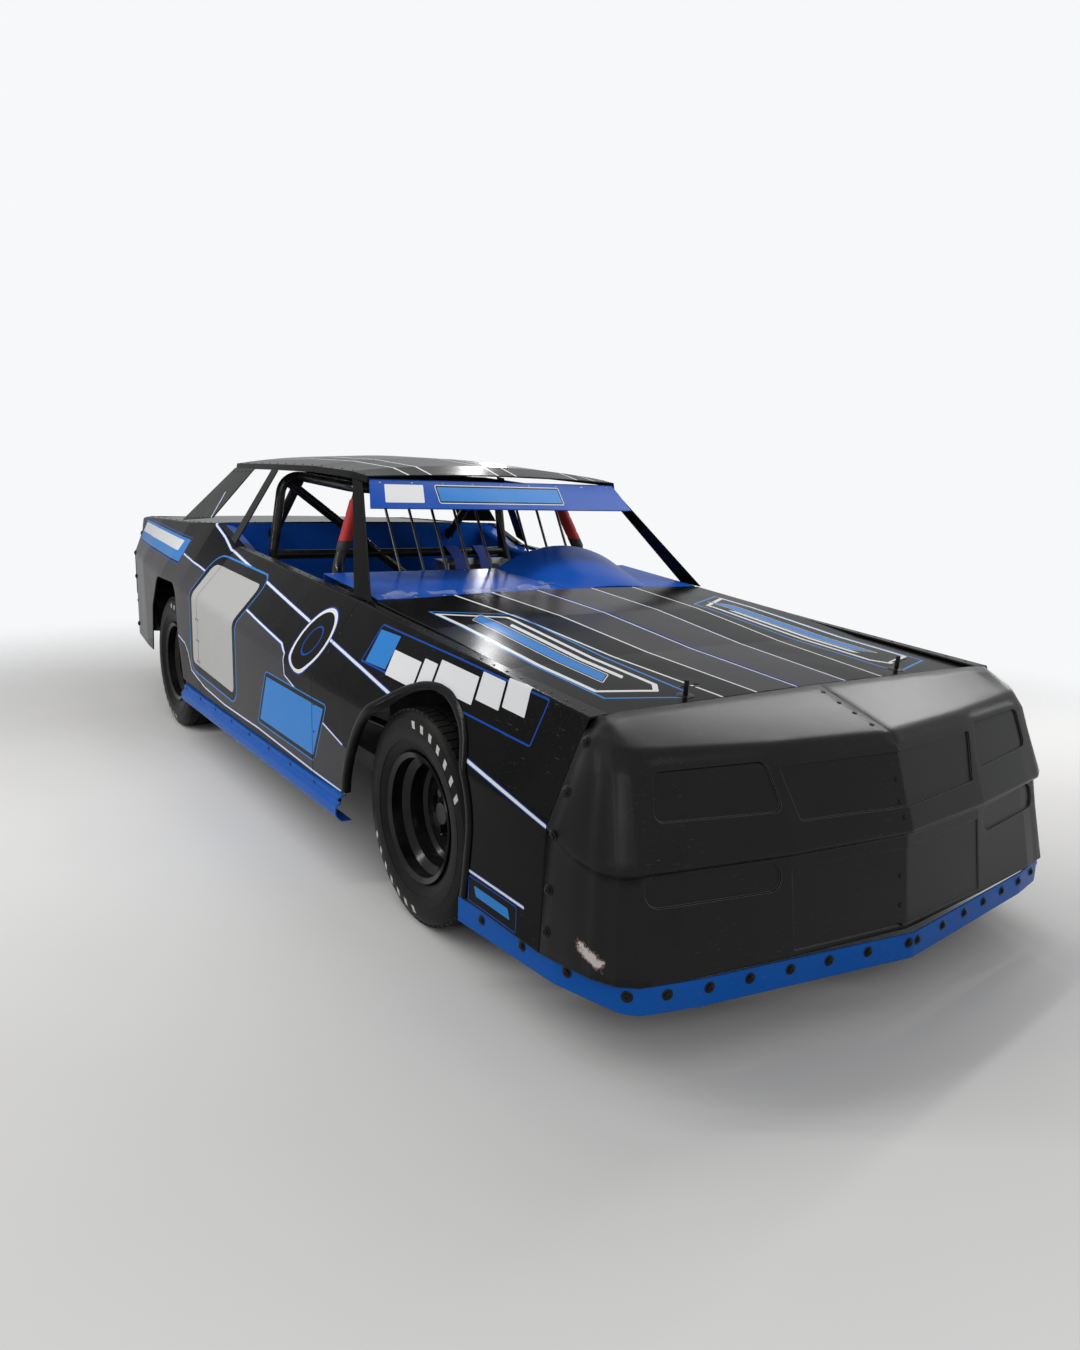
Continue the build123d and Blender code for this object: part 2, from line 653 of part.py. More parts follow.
# Flat tow tabs on the lower cross tubes, with an upright hole: (tube station, hole station, z)
TOW_TABS = ((-949, -990, 300), (3469, 3510, 400))
TOW_HOLE = 20
TOW_THICKNESS = 12
with BuildPart() as bumper_bars:
    for post_station, cross_station, post_x, cross_half, heights in BUMPERS:
        for sign in (-1, 1):
            bar(spot_at(sign * post_x, post_station, heights[0] - 30),
                spot_at(sign * post_x, post_station, heights[1] + 30), THIN_TUBE)
        for z in heights:
            bar(spot_at(-cross_half, cross_station, z), spot_at(cross_half, cross_station, z), THIN_TUBE)
    for tube_station, hole_station, hole_z in TOW_TABS:
        with BuildSketch(Plane.XY.offset(hole_z - TOW_THICKNESS / 2)) as tab:
            with Locations((0, y_at(hole_station))):
                Circle(2 * TOW_HOLE)
            with Locations((0, y_at((hole_station + tube_station) / 2))):
                Rectangle(4 * TOW_HOLE, abs(hole_station - tube_station))
            with Locations((0, y_at(hole_station))):
                Circle(TOW_HOLE, mode=Mode.SUBTRACT)
        extrude(tab.sketch, amount=TOW_THICKNESS)
save(bumper_bars, "bumper_bars")

# Floor with its tunnel, and the firewall ahead of it

FLOOR_Z = 306
FLOOR_STATIONS = (640, 2100)
TUNNEL = ((170, FLOOR_Z), (125, 500))
with BuildPart() as floor_pan:
    floor_line = [(700, FLOOR_Z), *TUNNEL, *[(-x, z) for x, z in reversed(TUNNEL)], (-700, FLOOR_Z)]
    with BuildSketch(cross_plane(FLOOR_STATIONS[0])):
        bent_sheet(floor_line, -4, (20, 30, 30, 20))
    extrude(amount=FLOOR_STATIONS[0] - FLOOR_STATIONS[1])
    cage_tubes("front leg", PANEL_ROOM, Mode.SUBTRACT)
    hoop_bar(PANEL_ROOM, Mode.SUBTRACT)
save(floor_pan, "floor_pan")

COLUMN_LOW = (345, -200, 420)
COLUMN_HIGH = (395, 1345, 820)
WALL_STATION = 630
with BuildPart() as firewall:
    with BuildSketch(cross_plane(WALL_STATION)):
        with BuildLine():
            Polyline((-700, 316), (-180, 316), (-140, 515), (140, 515), (180, 316), (700, 316),
                     (740, 915), (-740, 915), close=True)
        make_face()
    extrude(amount=4)
    bar(spot_at(*COLUMN_LOW), spot_at(*COLUMN_HIGH), 60, Mode.SUBTRACT)
    cage_tubes("front brace", PANEL_ROOM, Mode.SUBTRACT)
save(firewall, "firewall")

# Engine with its gearbox as a plain block, driveshaft, radiator, fuel cell and exhaust

ENGINE_FRONT = -100
ENGINE_REAR = 460
CRANK_Z = 385
with BuildPart() as engine:
    with Locations((0, y_at((ENGINE_FRONT + ENGINE_REAR) / 2), 520)):
        Box(480, ENGINE_REAR - ENGINE_FRONT, 430)
    with BuildSketch(cross_plane(ENGINE_REAR)):
        with Locations((0, CRANK_Z + 30)):
            Circle(170)
    with BuildSketch(cross_plane(610)):
        with Locations((0, CRANK_Z)):
            Circle(100)
    loft()
    bar(spot_at(0, 610, CRANK_Z), spot_at(0, 1040, CRANK_Z), 190)
save(engine, "engine")

with BuildPart() as driveshaft:
    bar(spot_at(0, 1046, CRANK_Z), spot_at(0, 2560, 352), 76)
save(driveshaft, "driveshaft")

with BuildPart() as radiator:
    with Locations((0, y_at(-745), 565)):
        Box(680, 60, 360)
save(radiator, "radiator")

with BuildPart() as fuel_cell:
    with Locations((0, y_at(3220), 640)):
        Box(600, 360, 359)
save(fuel_cell, "fuel_cell")

with BuildPart() as exhaust:
    for side, sign in SIDES:
        line = ((285, -60, 520), (285, 240, 520), (285, 440, 190), (400, 700, 190), (400, 1850, 190))
        bent_bar([spot_at(sign * x, station, z) for x, station, z in line], 60, 70)
        for station in (0, 110, 220):
            bar(spot_at(sign * 240.3, station, 520), spot_at(sign * 285, station, 520), 40)
save(exhaust, "exhaust")

# Rear axle and its links and springs

AXLE_Z = TYRE_RADIUS
AXLE_END_X = 690
AXLE_STUB = 25
with BuildPart() as rear_axle:
    bar(spot_at(-AXLE_END_X, REAR_STATION, AXLE_Z), spot_at(AXLE_END_X, REAR_STATION, AXLE_Z), 76)
    bar(spot_at(-790, REAR_STATION, AXLE_Z), spot_at(790, REAR_STATION, AXLE_Z), 2 * AXLE_STUB)
    with BuildSketch(Plane.XZ.offset(-y_at(REAR_STATION + 130))):
        with Locations((0, AXLE_Z)):
            Circle(120)
    with BuildSketch(Plane.XZ.offset(-y_at(REAR_STATION - 60))):
        with Locations((0, AXLE_Z)):
            Circle(150)
    with BuildSketch(Plane.XZ.offset(-y_at(REAR_STATION - 176))):
        with Locations((0, AXLE_Z + 8)):
            Circle(55)
    loft(ruled=True)
save(rear_axle, "rear_axle")

with BuildPart() as rear_links:
    for side, sign in SIDES:
        bar(spot_at(sign * 420, 2103, 262), spot_at(sign * 420, REAR_STATION, 318), THIN_TUBE)
    bar(spot_at(-AXLE_END_X, REAR_STATION, AXLE_Z), spot_at(AXLE_END_X, REAR_STATION, AXLE_Z),
        76 + 2 * COPE_GAP, Mode.SUBTRACT)
save(rear_links, "rear_links")

SPRING_RADIUS = 50
with BuildPart() as springs:
    for side, sign in SIDES:
        bar(spot_at(sign * 500, 0, 246), spot_at(sign * 500, 0, SPRING_PERCH_Z - 0.3), 2 * SPRING_RADIUS)
        bar(spot_at(sign * 435, REAR_STATION, 384), spot_at(sign * 435, REAR_STATION, 610),
            2 * SPRING_RADIUS)
save(springs, "springs")

# Front suspension: two wishbones a side, and the knuckle that steers between their ends

KNUCKLE_LOW = 258
KNUCKLE_HIGH = 462
WISHBONES = ((218, 26), (476, 24))
STUD = 9
PIVOT_SPREAD = 92
with BuildPart() as wishbones:
    for side, sign in SIDES:
        for low, height in WISHBONES:
            with BuildSketch(Plane.XY.offset(low)):
                with BuildLine():
                    Polyline((sign * 425.4, y_at(-PIVOT_SPREAD - 20)),
                             (sign * 460, y_at(-PIVOT_SPREAD - 20)),
                             (sign * 640, y_at(-22)), (sign * 640, y_at(22)),
                             (sign * 460, y_at(PIVOT_SPREAD + 20)), (sign * 425.4, y_at(PIVOT_SPREAD + 20)),
                             (sign * 425.4, y_at(PIVOT_SPREAD - 22)), (sign * 570, y_at(0)),
                             (sign * 425.4, y_at(22 - PIVOT_SPREAD)), close=True)
                make_face()
                with Locations((sign * KINGPIN_X, y_at(0))):
                    Circle(24)
                    Circle(STUD + 0.05, mode=Mode.SUBTRACT)
            extrude(amount=height)
save(wishbones, "wishbones")

SPINDLE = 18
ARM_REACH = 140
ARM_TIP_X = 625
for side, sign in SIDES:
    with BuildPart() as knuckle:
        bar(spot_at(sign * KINGPIN_X, 0, KNUCKLE_LOW), spot_at(sign * KINGPIN_X, 0, KNUCKLE_HIGH), 40)
        bar(spot_at(sign * KINGPIN_X, 0, 222), spot_at(sign * KINGPIN_X, 0, 498), 2 * STUD)
        bar(spot_at(sign * KINGPIN_X, 0, TYRE_RADIUS), spot_at(sign * 700, 0, TYRE_RADIUS), 60)
        bar(spot_at(sign * KINGPIN_X, 0, TYRE_RADIUS), spot_at(sign * 790, 0, TYRE_RADIUS), 2 * SPINDLE)
        with BuildSketch(Plane.XY.offset(264)):
            with BuildLine():
                Polyline((sign * (KINGPIN_X - 18), y_at(0)), (sign * (KINGPIN_X + 18), y_at(0)),
                         (sign * (ARM_TIP_X + 14), y_at(-ARM_REACH)),
                         (sign * (ARM_TIP_X - 14), y_at(-ARM_REACH)), close=True)
            make_face()
            with Locations((sign * ARM_TIP_X, y_at(-ARM_REACH))):
                Circle(16)
        extrude(amount=16)
    save(knuckle, f"knuckle_{side}")

with BuildPart() as steering_link:
    bar(spot_at(-ARM_TIP_X, -ARM_REACH, 245), spot_at(ARM_TIP_X, -ARM_REACH, 245), 22)
    for side, sign in SIDES:
        bar(spot_at(sign * ARM_TIP_X, -ARM_REACH, 233), spot_at(sign * ARM_TIP_X, -ARM_REACH, 257), 32)
save(steering_link, "steering_link")

# Steering gear on the left rail, and the wheel with its shaft

with BuildPart() as steering_box:
    with Locations((375, y_at(-260), 415.3)):
        Box(110, 110, 70)
save(steering_box, "steering_box")

COLUMN_PLANE = Plane(origin=spot_at(*COLUMN_HIGH), z_dir=Vector(*spot_at(*COLUMN_HIGH))
                     - Vector(*spot_at(*COLUMN_LOW)))
GRIP_RADIUS = 175
with BuildPart() as steering_wheel:
    with BuildSketch(COLUMN_PLANE.offset(20)):
        Circle(30)
        for turn in (0, 120, 240):
            with Locations(Location((0, 0), turn + 30)):
                with Locations((GRIP_RADIUS / 2, 0)):
                    Rectangle(GRIP_RADIUS - 4, 26)
    extrude(amount=6)
    with BuildSketch(Plane(origin=COLUMN_PLANE.location.position + COLUMN_PLANE.z_dir * 23
                           + COLUMN_PLANE.x_dir * GRIP_RADIUS,
                           x_dir=COLUMN_PLANE.x_dir, z_dir=COLUMN_PLANE.y_dir)):
        Circle(14)
    revolve(axis=Axis(COLUMN_PLANE.location.position, COLUMN_PLANE.z_dir))
save(steering_wheel, "steering_wheel")

with BuildPart() as steering_shaft:
    shaft_end = COLUMN_PLANE.location.position + COLUMN_PLANE.z_dir * 20
    bar(spot_at(*COLUMN_LOW), shaft_end, 24)
save(steering_shaft, "steering_shaft")

# Driver's bucket seat: a bent shell with side bolsters

SEAT_X = 400
SEAT_HALF = 205
SEAT_LINE = ((1500, 470), (1560, 400), (1900, 372), (2010, 930))
with BuildPart() as seat:
    with BuildSketch(Plane.YZ.offset(SEAT_X - SEAT_HALF)):
        bent_sheet([(y_at(station), z) for station, z in SEAT_LINE], 5, (60, 80))
    extrude(amount=2 * SEAT_HALF)
    for low_x in (SEAT_X - SEAT_HALF, SEAT_X + SEAT_HALF - 5):
        with BuildSketch(Plane.YZ.offset(low_x)):
            with BuildLine():
                Polyline((y_at(1510), 474), (y_at(1560), 402), (y_at(1900), 374), (y_at(2010), 930),
                         (y_at(1860), 920), (y_at(1800), 560), close=True)
            make_face()
        extrude(amount=5)
save(seat, "seat")

# Wheels: a pressed steel rim with a deep outer dish on its hub, and a slick dirt tyre.
# Profiles run as (out from the wheel's middle plane, radius)

RIM_WALL = 5
DISC_WALL = 6
BARREL = (
    (112, 205), (106, 191), (70, 191), (52, 168), (-60, 168), (-78, 191), (-106, 191), (-112, 205),
)
DISC = ((12, 167), (-4, 152), (-4, 134), (14, 112), (14, 86), (2, 78), (2, 46))
HUB = ((-96, 46), (-60, 46), (-60, 120), (-46, 120), (-46, 54), (4, 54), (4, 40), (30, 34), (30, 0),
       (-10, 0))
DISC_SLOTS = 16
SLOT_RADIUS = 124
SLOT_WIDTH = 17
LUGS = 5
LUG_CIRCLE = 63.5
LUG_ACROSS = 25
LUG_TIP = 26
# The tyre is made of flat faces, so that it stands on one and stays light
TYRE_SIDES = 60
TYRE_HALF = (
    (102, 196), (102, 211), (TYRE_WIDTH / 2, 262), (TYRE_WIDTH / 2, 268), (122, 322), (110, TYRE_RADIUS),
)


def axle_plane(sign, centre_x, out, station):
    """An upright plane across a wheel's axle that faces out from the car."""
    return Plane(origin=(sign * (centre_x + out), y_at(station), TYRE_RADIUS),
                 x_dir=(0, 1, 0), z_dir=(sign, 0, 0))


def rim_on_hub(sign, centre_x, station, bore):
    axle = Axis((0, y_at(station), TYRE_RADIUS), (1, 0, 0))

    def spots(profile):
        return [(sign * (centre_x + out), TYRE_RADIUS + radius) for out, radius in profile]

    with BuildPart() as rim:
        with BuildSketch(cross_plane(station)):
            folded_sheet(spots(BARREL), sign * RIM_WALL)
        revolve(axis=axle)
        with BuildSketch(cross_plane(station)):
            folded_sheet(spots(DISC), -sign * DISC_WALL)
        revolve(axis=axle)
        with BuildSketch(axle_plane(sign, centre_x, -30, station)) as slots:
            with PolarLocations(SLOT_RADIUS, DISC_SLOTS):
                Rectangle(SLOT_WIDTH, SLOT_WIDTH)
        extrude(slots.sketch, amount=60, mode=Mode.SUBTRACT)
        with BuildSketch(cross_plane(station)) as hub:
            with BuildLine():
                Polyline(*spots(((-96, bore),) + HUB + ((-10, bore),)), close=True)
            make_face()
        revolve(hub.sketch, axis=axle)
        with BuildSketch(axle_plane(sign, centre_x, 0, station)) as lugs:
            with PolarLocations(LUG_CIRCLE, LUGS):
                RegularPolygon(LUG_ACROSS / 2, 6, major_radius=False)
        extrude(lugs.sketch, amount=LUG_TIP)
    return rim


def tyre_ring(x, radius, station):
    """The corners of a flat-sided ring round the axle, with one side level at the bottom."""
    corner = radius / cos(pi / TYRE_SIDES)
    turns_round = [2 * pi * (step + 0.5) / TYRE_SIDES + pi / 2 for step in range(TYRE_SIDES)]
    return [Vector(x, y_at(station) + corner * cos(turn), TYRE_RADIUS + corner * sin(turn))
            for turn in turns_round]


def tyre_on(sign, centre_x, station):
    profile = TYRE_HALF + tuple((-out, radius) for out, radius in reversed(TYRE_HALF))
    rings = [tyre_ring(sign * centre_x + out, radius, station) for out, radius in profile]
    faces = []
    for ring, next_ring in zip(rings, rings[1:] + rings[:1]):
        for corner in range(TYRE_SIDES):
            after = (corner + 1) % TYRE_SIDES
            corners = [ring[corner], ring[after], next_ring[after], next_ring[corner]]
            faces.append(Face(Wire.make_polygon(corners, close=True)))
    with BuildPart() as tyre:
        add(Solid(Shell(faces)))
    return tyre


for side, sign in SIDES:
    for end, centre_x, station, bore in (("front", FRONT_WHEEL_X, 0, SPINDLE + 0.05),
                                         ("rear", REAR_WHEEL_X, REAR_STATION, AXLE_STUB + 0.05)):
        save(rim_on_hub(sign, centre_x, station, bore), f"rim_{end}_{side}")
        save(tyre_on(sign, centre_x, station), f"tyre_{end}_{side}")
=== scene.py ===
"""The dressed dirt-track stock car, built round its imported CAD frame. Metres.

The frame has the ground at z 0, +X to the car's left and the nose towards -Y.
"""
from math import cos, pi, radians, sin

import bmesh
import bpy
from mathutils import Matrix, Vector, noise
from mathutils.bvhtree import BVHTree


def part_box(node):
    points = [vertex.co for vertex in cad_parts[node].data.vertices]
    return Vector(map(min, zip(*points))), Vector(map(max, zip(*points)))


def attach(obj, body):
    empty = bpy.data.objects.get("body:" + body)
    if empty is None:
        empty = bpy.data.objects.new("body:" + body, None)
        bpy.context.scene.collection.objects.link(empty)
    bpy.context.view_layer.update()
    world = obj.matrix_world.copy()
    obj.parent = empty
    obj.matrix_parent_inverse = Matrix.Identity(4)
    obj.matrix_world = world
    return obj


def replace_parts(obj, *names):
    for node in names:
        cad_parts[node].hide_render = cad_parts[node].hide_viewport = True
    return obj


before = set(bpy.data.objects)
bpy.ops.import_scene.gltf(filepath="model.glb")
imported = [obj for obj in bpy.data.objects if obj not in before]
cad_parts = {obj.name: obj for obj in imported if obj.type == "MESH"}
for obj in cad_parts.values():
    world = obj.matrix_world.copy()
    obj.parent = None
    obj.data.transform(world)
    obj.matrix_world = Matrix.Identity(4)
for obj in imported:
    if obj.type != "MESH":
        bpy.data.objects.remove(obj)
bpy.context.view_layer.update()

# The car stands on smooth concrete in a plain pale room. The camera stands off its right front
# corner at eye height, with the wide view of the photograph

CAMERA_SPOT = Vector((-2.2725, -3.9223, 1.4075))
CAMERA_HEADING = radians(34.269)
CAMERA_FALL = radians(11.602)
CAMERA_LEAN = radians(2.156)
PHOTO_HEIGHT_PX = 1350
FOCAL_PX = 1003.92
SENSOR = 36.0

forward = Vector((sin(CAMERA_HEADING) * cos(CAMERA_FALL), cos(CAMERA_HEADING) * cos(CAMERA_FALL),
                  -sin(CAMERA_FALL)))
level_right = Vector((cos(CAMERA_HEADING), -sin(CAMERA_HEADING), 0))
level_up = level_right.cross(forward)
right = cos(CAMERA_LEAN) * level_right + sin(CAMERA_LEAN) * level_up
up = cos(CAMERA_LEAN) * level_up - sin(CAMERA_LEAN) * level_right
lens = bpy.data.cameras.new("camera")
lens.sensor_width = SENSOR
lens.lens = FOCAL_PX / PHOTO_HEIGHT_PX * SENSOR
camera = bpy.data.objects.new("camera", lens)
camera.matrix_world = (Matrix.Translation(CAMERA_SPOT)
                       @ Matrix((right, up, -forward)).transposed().to_4x4())
bpy.context.scene.collection.objects.link(camera)
bpy.context.scene.camera = camera
bpy.context.scene.view_settings.view_transform = "Standard"


def put(tree, kind, sockets=None, **settings):
    """Adds a shader node. sockets maps an input's name or number to a value or an output."""
    node = tree.nodes.new("ShaderNode" + kind)
    for setting, value in settings.items():
        setattr(node, setting, value)
    for key, value in (sockets or {}).items():
        if isinstance(value, bpy.types.NodeSocket):
            tree.links.new(value, node.inputs[key])
        else:
            node.inputs[key].default_value = value
    return node


def calc(tree, operation, *values, **settings):
    """The result of a Math node."""
    return put(tree, "Math", dict(enumerate(values)), operation=operation, **settings).outputs[0]


def vector(tree, operation, *values):
    """The result of a Vector Math node: a number for a length, a distance or a dot product."""
    node = put(tree, "VectorMath", dict(enumerate(values)), operation=operation)
    return node.outputs["Value" if operation in ("LENGTH", "DISTANCE", "DOT_PRODUCT") else "Vector"]


def mapped(tree, value, start, end, low=0.0, high=1.0, **settings):
    """Turns start to end of a value into low to high, and goes no further."""
    return put(tree, "MapRange", {"Value": value, "From Min": start, "From Max": end,
                                  "To Min": low, "To Max": high}, **settings).outputs[0]


def cloud(tree, spot, scale, detail=2, roughness=0.5):
    """Soft noise about 0.5."""
    return put(tree, "TexNoise", {"Vector": spot, "Scale": scale, "Detail": detail,
                                  "Roughness": roughness}).outputs["Fac"]


def between(tree, value, low, high, start=0.0, end=1.0):
    """A colour that goes from low to high as a value goes from start to end."""
    ramp = put(tree, "ValToRGB", {"Fac": value})
    for stop, place, colour in zip(ramp.color_ramp.elements, (start, end), (low, high)):
        stop.position, stop.color = place, (*colour, 1)
    return ramp.outputs["Color"]


def new_finish(name):
    """An empty material: the material, its node tree and its shader."""
    material = bpy.data.materials.new(name)
    material.use_nodes = True
    tree = material.node_tree
    tree.nodes.clear()
    shader = put(tree, "BsdfPrincipled")
    put(tree, "OutputMaterial", {"Surface": shader.outputs[0]})
    return material, tree, shader


FLOOR_COLOUR = Vector((0.80, 0.79, 0.775))
FLOOR_MOTTLE = 0.93
FLOOR_HALF = 30
FLOOR_FADE = (2.5, 5.4)
floor_mesh = bpy.data.meshes.new("floor")
floor_mesh.from_pydata([(x * FLOOR_HALF, y * FLOOR_HALF, 0)
                        for x, y in ((-1, -1), (1, -1), (1, 1), (-1, 1))], [], [(0, 1, 2, 3)])
floor = bpy.data.objects.new("floor", floor_mesh)
bpy.context.scene.collection.objects.link(floor)
concrete, tree, shader = new_finish("floor_concrete")
spot = put(tree, "NewGeometry").outputs["Position"]
mottled = between(tree, cloud(tree, spot, 1.3, 8), FLOOR_MOTTLE * FLOOR_COLOUR, FLOOR_COLOUR)
tree.links.new(mottled, shader.inputs["Base Color"])
shader.inputs["Roughness"].default_value = 0.75
fading = mapped(tree, vector(tree, "LENGTH", spot), *FLOOR_FADE, interpolation_type="SMOOTHSTEP")
faded = put(tree, "MixShader", {0: fading, 1: shader.outputs[0],
                                2: put(tree, "BsdfTransparent").outputs[0]})
tree.links.new(faded.outputs[0], tree.nodes["Material Output"].inputs["Surface"])
floor.data.materials.append(concrete)

ROOM_WHITE = (0.93, 0.94, 0.95, 1)
LIGHT_ROOM = 0.40
SHINE_ROOM = 0.55
world = bpy.data.worlds.new("room")
bpy.context.scene.world = world
world.use_nodes = True
tree = world.node_tree
tree.nodes.clear()
path = put(tree, "LightPath").outputs
seen = calc(tree, "MAXIMUM", path["Is Camera Ray"], path["Is Transmission Ray"])
unseen = mapped(tree, path["Is Glossy Ray"], 0, 1, LIGHT_ROOM, SHINE_ROOM)
backdrop = put(tree, "Background", {"Color": ROOM_WHITE,
                                    "Strength": mapped(tree, seen, 0, 1, unseen, 1.0)})
put(tree, "OutputWorld", {"Surface": backdrop.outputs[0]})

# Rows of tubes under the ceiling, one along each side of the car and one behind it, and a soft
# fill, as (name, place, size, what it faces, watts)
LAMPS = (
    ("tubes_right", (-2.6, 0.4, 3.2), (0.16, 6.0), (-0.3, 0, 0.5), 85),
    ("tubes_left", (2.4, -0.6, 3.2), (0.16, 6.0), (0.3, 0, 0.5), 75),
    ("tubes_behind", (3.6, 5.6, 3.0), (0.20, 5.0), (0.4, -0.6, 0.6), 60),
    ("fill_front", (-3.5, -6.5, 3.6), (3.0, 2.0), (0, -1, 0.4), 60),
)
for name, spot, size, target, power in LAMPS:
    light = bpy.data.lights.new(name, "AREA")
    light.shape = "RECTANGLE"
    light.size, light.size_y = size
    light.energy = power
    lamp = bpy.data.objects.new(name, light)
    lamp.location = spot
    lamp.rotation_euler = (Vector(target) - Vector(spot)).to_track_quat("-Z", "Y").to_euler()
    lamp.visible_camera = False
    bpy.context.scene.collection.objects.link(lamp)

# The frame: bent box rails with welded crossmembers, and the axles, arms and links under the
# car. Mild steel brushed with satin black, with dust on what faces up

DUST = (0.30, 0.27, 0.23)


def new_group(name, inputs, outputs):
    """A node group with named sockets: its tree, its input node and its output node."""
    group = bpy.data.node_groups.new(name, "ShaderNodeTree")
    for socket, (kind, start) in inputs.items():
        made = group.interface.new_socket(socket, in_out="INPUT", socket_type="NodeSocket" + kind)
        made.default_value = start
    for socket, kind in outputs.items():
        group.interface.new_socket(socket, in_out="OUTPUT", socket_type="NodeSocket" + kind)
    return group, group.nodes.new("NodeGroupInput"), group.nodes.new("NodeGroupOutput")


def use_group(tree, group, sockets):
    """Places a node group in a material."""
    return put(tree, "Group", sockets, node_tree=group).outputs


def xyz(tree, source):
    """The X, Y and Z of a vector."""
    return put(tree, "SeparateXYZ", {0: source}).outputs


def over(tree, under, colour, mask):
    """Lays a colour over what is under it."""
    return put(tree, "Mix", {"Factor": mask, "A": under, "B": (*colour, 1)},
               data_type="RGBA").outputs["Result"]


def scaled(tree, colour, by):
    return put(tree, "VectorMath", {0: colour, "Scale": by}, operation="SCALE").outputs[0]


def dust_group():
    """Dust that settles on upward faces and in cloudy patches."""
    group, given, made = new_group("settled_dust", {
        "Colour": ("Color", (0.1, 0.1, 0.1, 1)), "Amount": ("Float", 0.2), "Roughness": ("Float", 0.3),
    }, {"Colour": "Color", "Roughness": "Float"})
    coords = put(group, "TexCoord").outputs
    lift = mapped(group, xyz(group, coords["Normal"])["Z"], -0.3, 1.0, 0.15, 1.0)
    patch = mapped(group, cloud(group, coords["Object"], 7, 6, 0.65), 0.35, 0.7)
    mask = calc(group, "MULTIPLY", lift, patch)
    mask = calc(group, "MULTIPLY", mask, given.outputs["Amount"], use_clamp=True)
    rough = put(group, "Mix", {"Factor": mask, "A": given.outputs["Roughness"], "B": 0.9},
                data_type="FLOAT")
    group.links.new(over(group, given.outputs["Colour"], DUST, mask), made.inputs["Colour"])
    group.links.new(rough.outputs["Result"], made.inputs["Roughness"])
    return group


settled_dust = dust_group()


def lay_on(tree, shader, colour, roughness, dust=None):
    """Gives a shader a colour and a roughness, under settled dust if there is any."""
    if dust is not None:
        dusty = use_group(tree, settled_dust, {"Colour": colour, "Amount": dust,
                                               "Roughness": roughness})
        colour, roughness = dusty["Colour"], dusty["Roughness"]
    tree.links.new(colour, shader.inputs["Base Color"])
    tree.links.new(roughness, shader.inputs["Roughness"])


def raise_grain(tree, shader, height, depth, strength, edges=None):
    """Gives a shader a grain of some depth, over round edges if they are given."""
    bump = put(tree, "Bump", {"Height": height, "Distance": depth, "Strength": strength,
                              **({} if edges is None else {"Normal": edges})})
    tree.links.new(bump.outputs[0], shader.inputs["Normal"])


def painted(name, colour, roughness, dust=0.2, metallic=0.0, grain=60, grain_depth=0.0002, shine=0.2):
    """A plain painted or bare surface: uneven shine, a little grain and settled dust."""
    material, tree, shader = new_finish(name)
    coords = put(tree, "TexCoord").outputs["Object"]
    worn = cloud(tree, coords, 14, 5)
    tone = mapped(tree, worn, 0.3, 0.7, 0.88, 1.06)
    rough = mapped(tree, worn, 0.3, 0.7, 0.8 * roughness, min(1.25 * roughness, 1))
    lay_on(tree, shader, scaled(tree, colour, tone), rough, dust)
    raise_grain(tree, shader, cloud(tree, coords, grain, 4), grain_depth, 0.6)
    shader.inputs["Metallic"].default_value = metallic
    shader.inputs["Specular IOR Level"].default_value = shine
    return material


def dress(names, material):
    """Gives CAD nodes a finish of this scene."""
    for name in names:
        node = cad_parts[name]
        if not node.material_slots:
            node.data.materials.append(material)
        for slot in node.material_slots:
            slot.material = material


dress(["frame_rails", "frame_crossmembers", "wishbones", "rear_links", "rear_axle", "knuckle_right",
       "knuckle_left", "steering_link", "bumper_bars", "fuel_cell"],
      painted("chassis_black", (0.009, 0.009, 0.010), 0.38, dust=0.25))
dress(["driveshaft", "steering_box", "steering_shaft"],
      painted("bare_steel", (0.30, 0.29, 0.28), 0.38, dust=0.4, metallic=1.0))

# The engine and its gearbox, a cast block with the exhaust pipes welded from thin steel tube that
# has gone brown with heat, and the radiator in a folded aluminium frame

HEAT_BROWN = (0.09, 0.05, 0.035)
HEAT_TAN = (0.24, 0.17, 0.12)
dress(["engine"], painted("engine_enamel", (0.02, 0.03, 0.09), 0.45, dust=0.5, grain=25,
                          grain_depth=0.001))
dress(["radiator"], painted("aluminium_mill", (0.55, 0.56, 0.57), 0.35, dust=0.3, metallic=1.0))
heated, tree, shader = new_finish("heated_steel")
heat = cloud(tree, put(tree, "TexCoord").outputs["Object"], 6, 6)
lay_on(tree, shader, between(tree, heat, HEAT_BROWN, HEAT_TAN, 0.35, 0.65),
       mapped(tree, heat, 0, 1, 0.35, 0.75))
shader.inputs["Metallic"].default_value = 0.85
dress(["exhaust"], heated)

# A coil spring at each corner, wound from 13 mm wire, round a shock absorber with a bright rod.
# They stand where the plain envelopes of the CAD springs are

SPRING_WIRE = 0.0065
SPRING_TURNS = 6.5
SPRING_STEPS = int(SPRING_TURNS * 24)
# The shock absorber from its foot up, as (share of the spring's height, radius)
SHOCK = ((0, 0.018), (0.02, 0.021), (0.02, 0.021), (0.55, 0.021), (0.56, 0.017), (0.56, 0.006),
         (1.0, 0.006))


def join_rows(mesh, rows, closed=False, flip=1):
    """Joins rows of verts into a sheet, or into a tube if the rows are closed rings."""
    for low, high in zip(rows, rows[1:]):
        for step in range(len(low) if closed else len(low) - 1):
            after = (step + 1) % len(low)
            mesh.faces.new((low[step], low[after], high[after], high[step])[::flip])


def sweep_ring(mesh, rings):
    """Skins rings of points of one length into a bar with closed ends."""
    rows = [[mesh.verts.new(point) for point in ring] for ring in rings]
    join_rows(mesh, rows, closed=True)
    mesh.faces.new(list(reversed(rows[0])))
    mesh.faces.new(rows[-1])


def circle(middle, radius, side, cross, sides):
    """Points round a middle, by two directions across the circle."""
    return [middle + radius * (cos(2 * pi * step / sides) * side + sin(2 * pi * step / sides) * cross)
            for step in range(sides)]


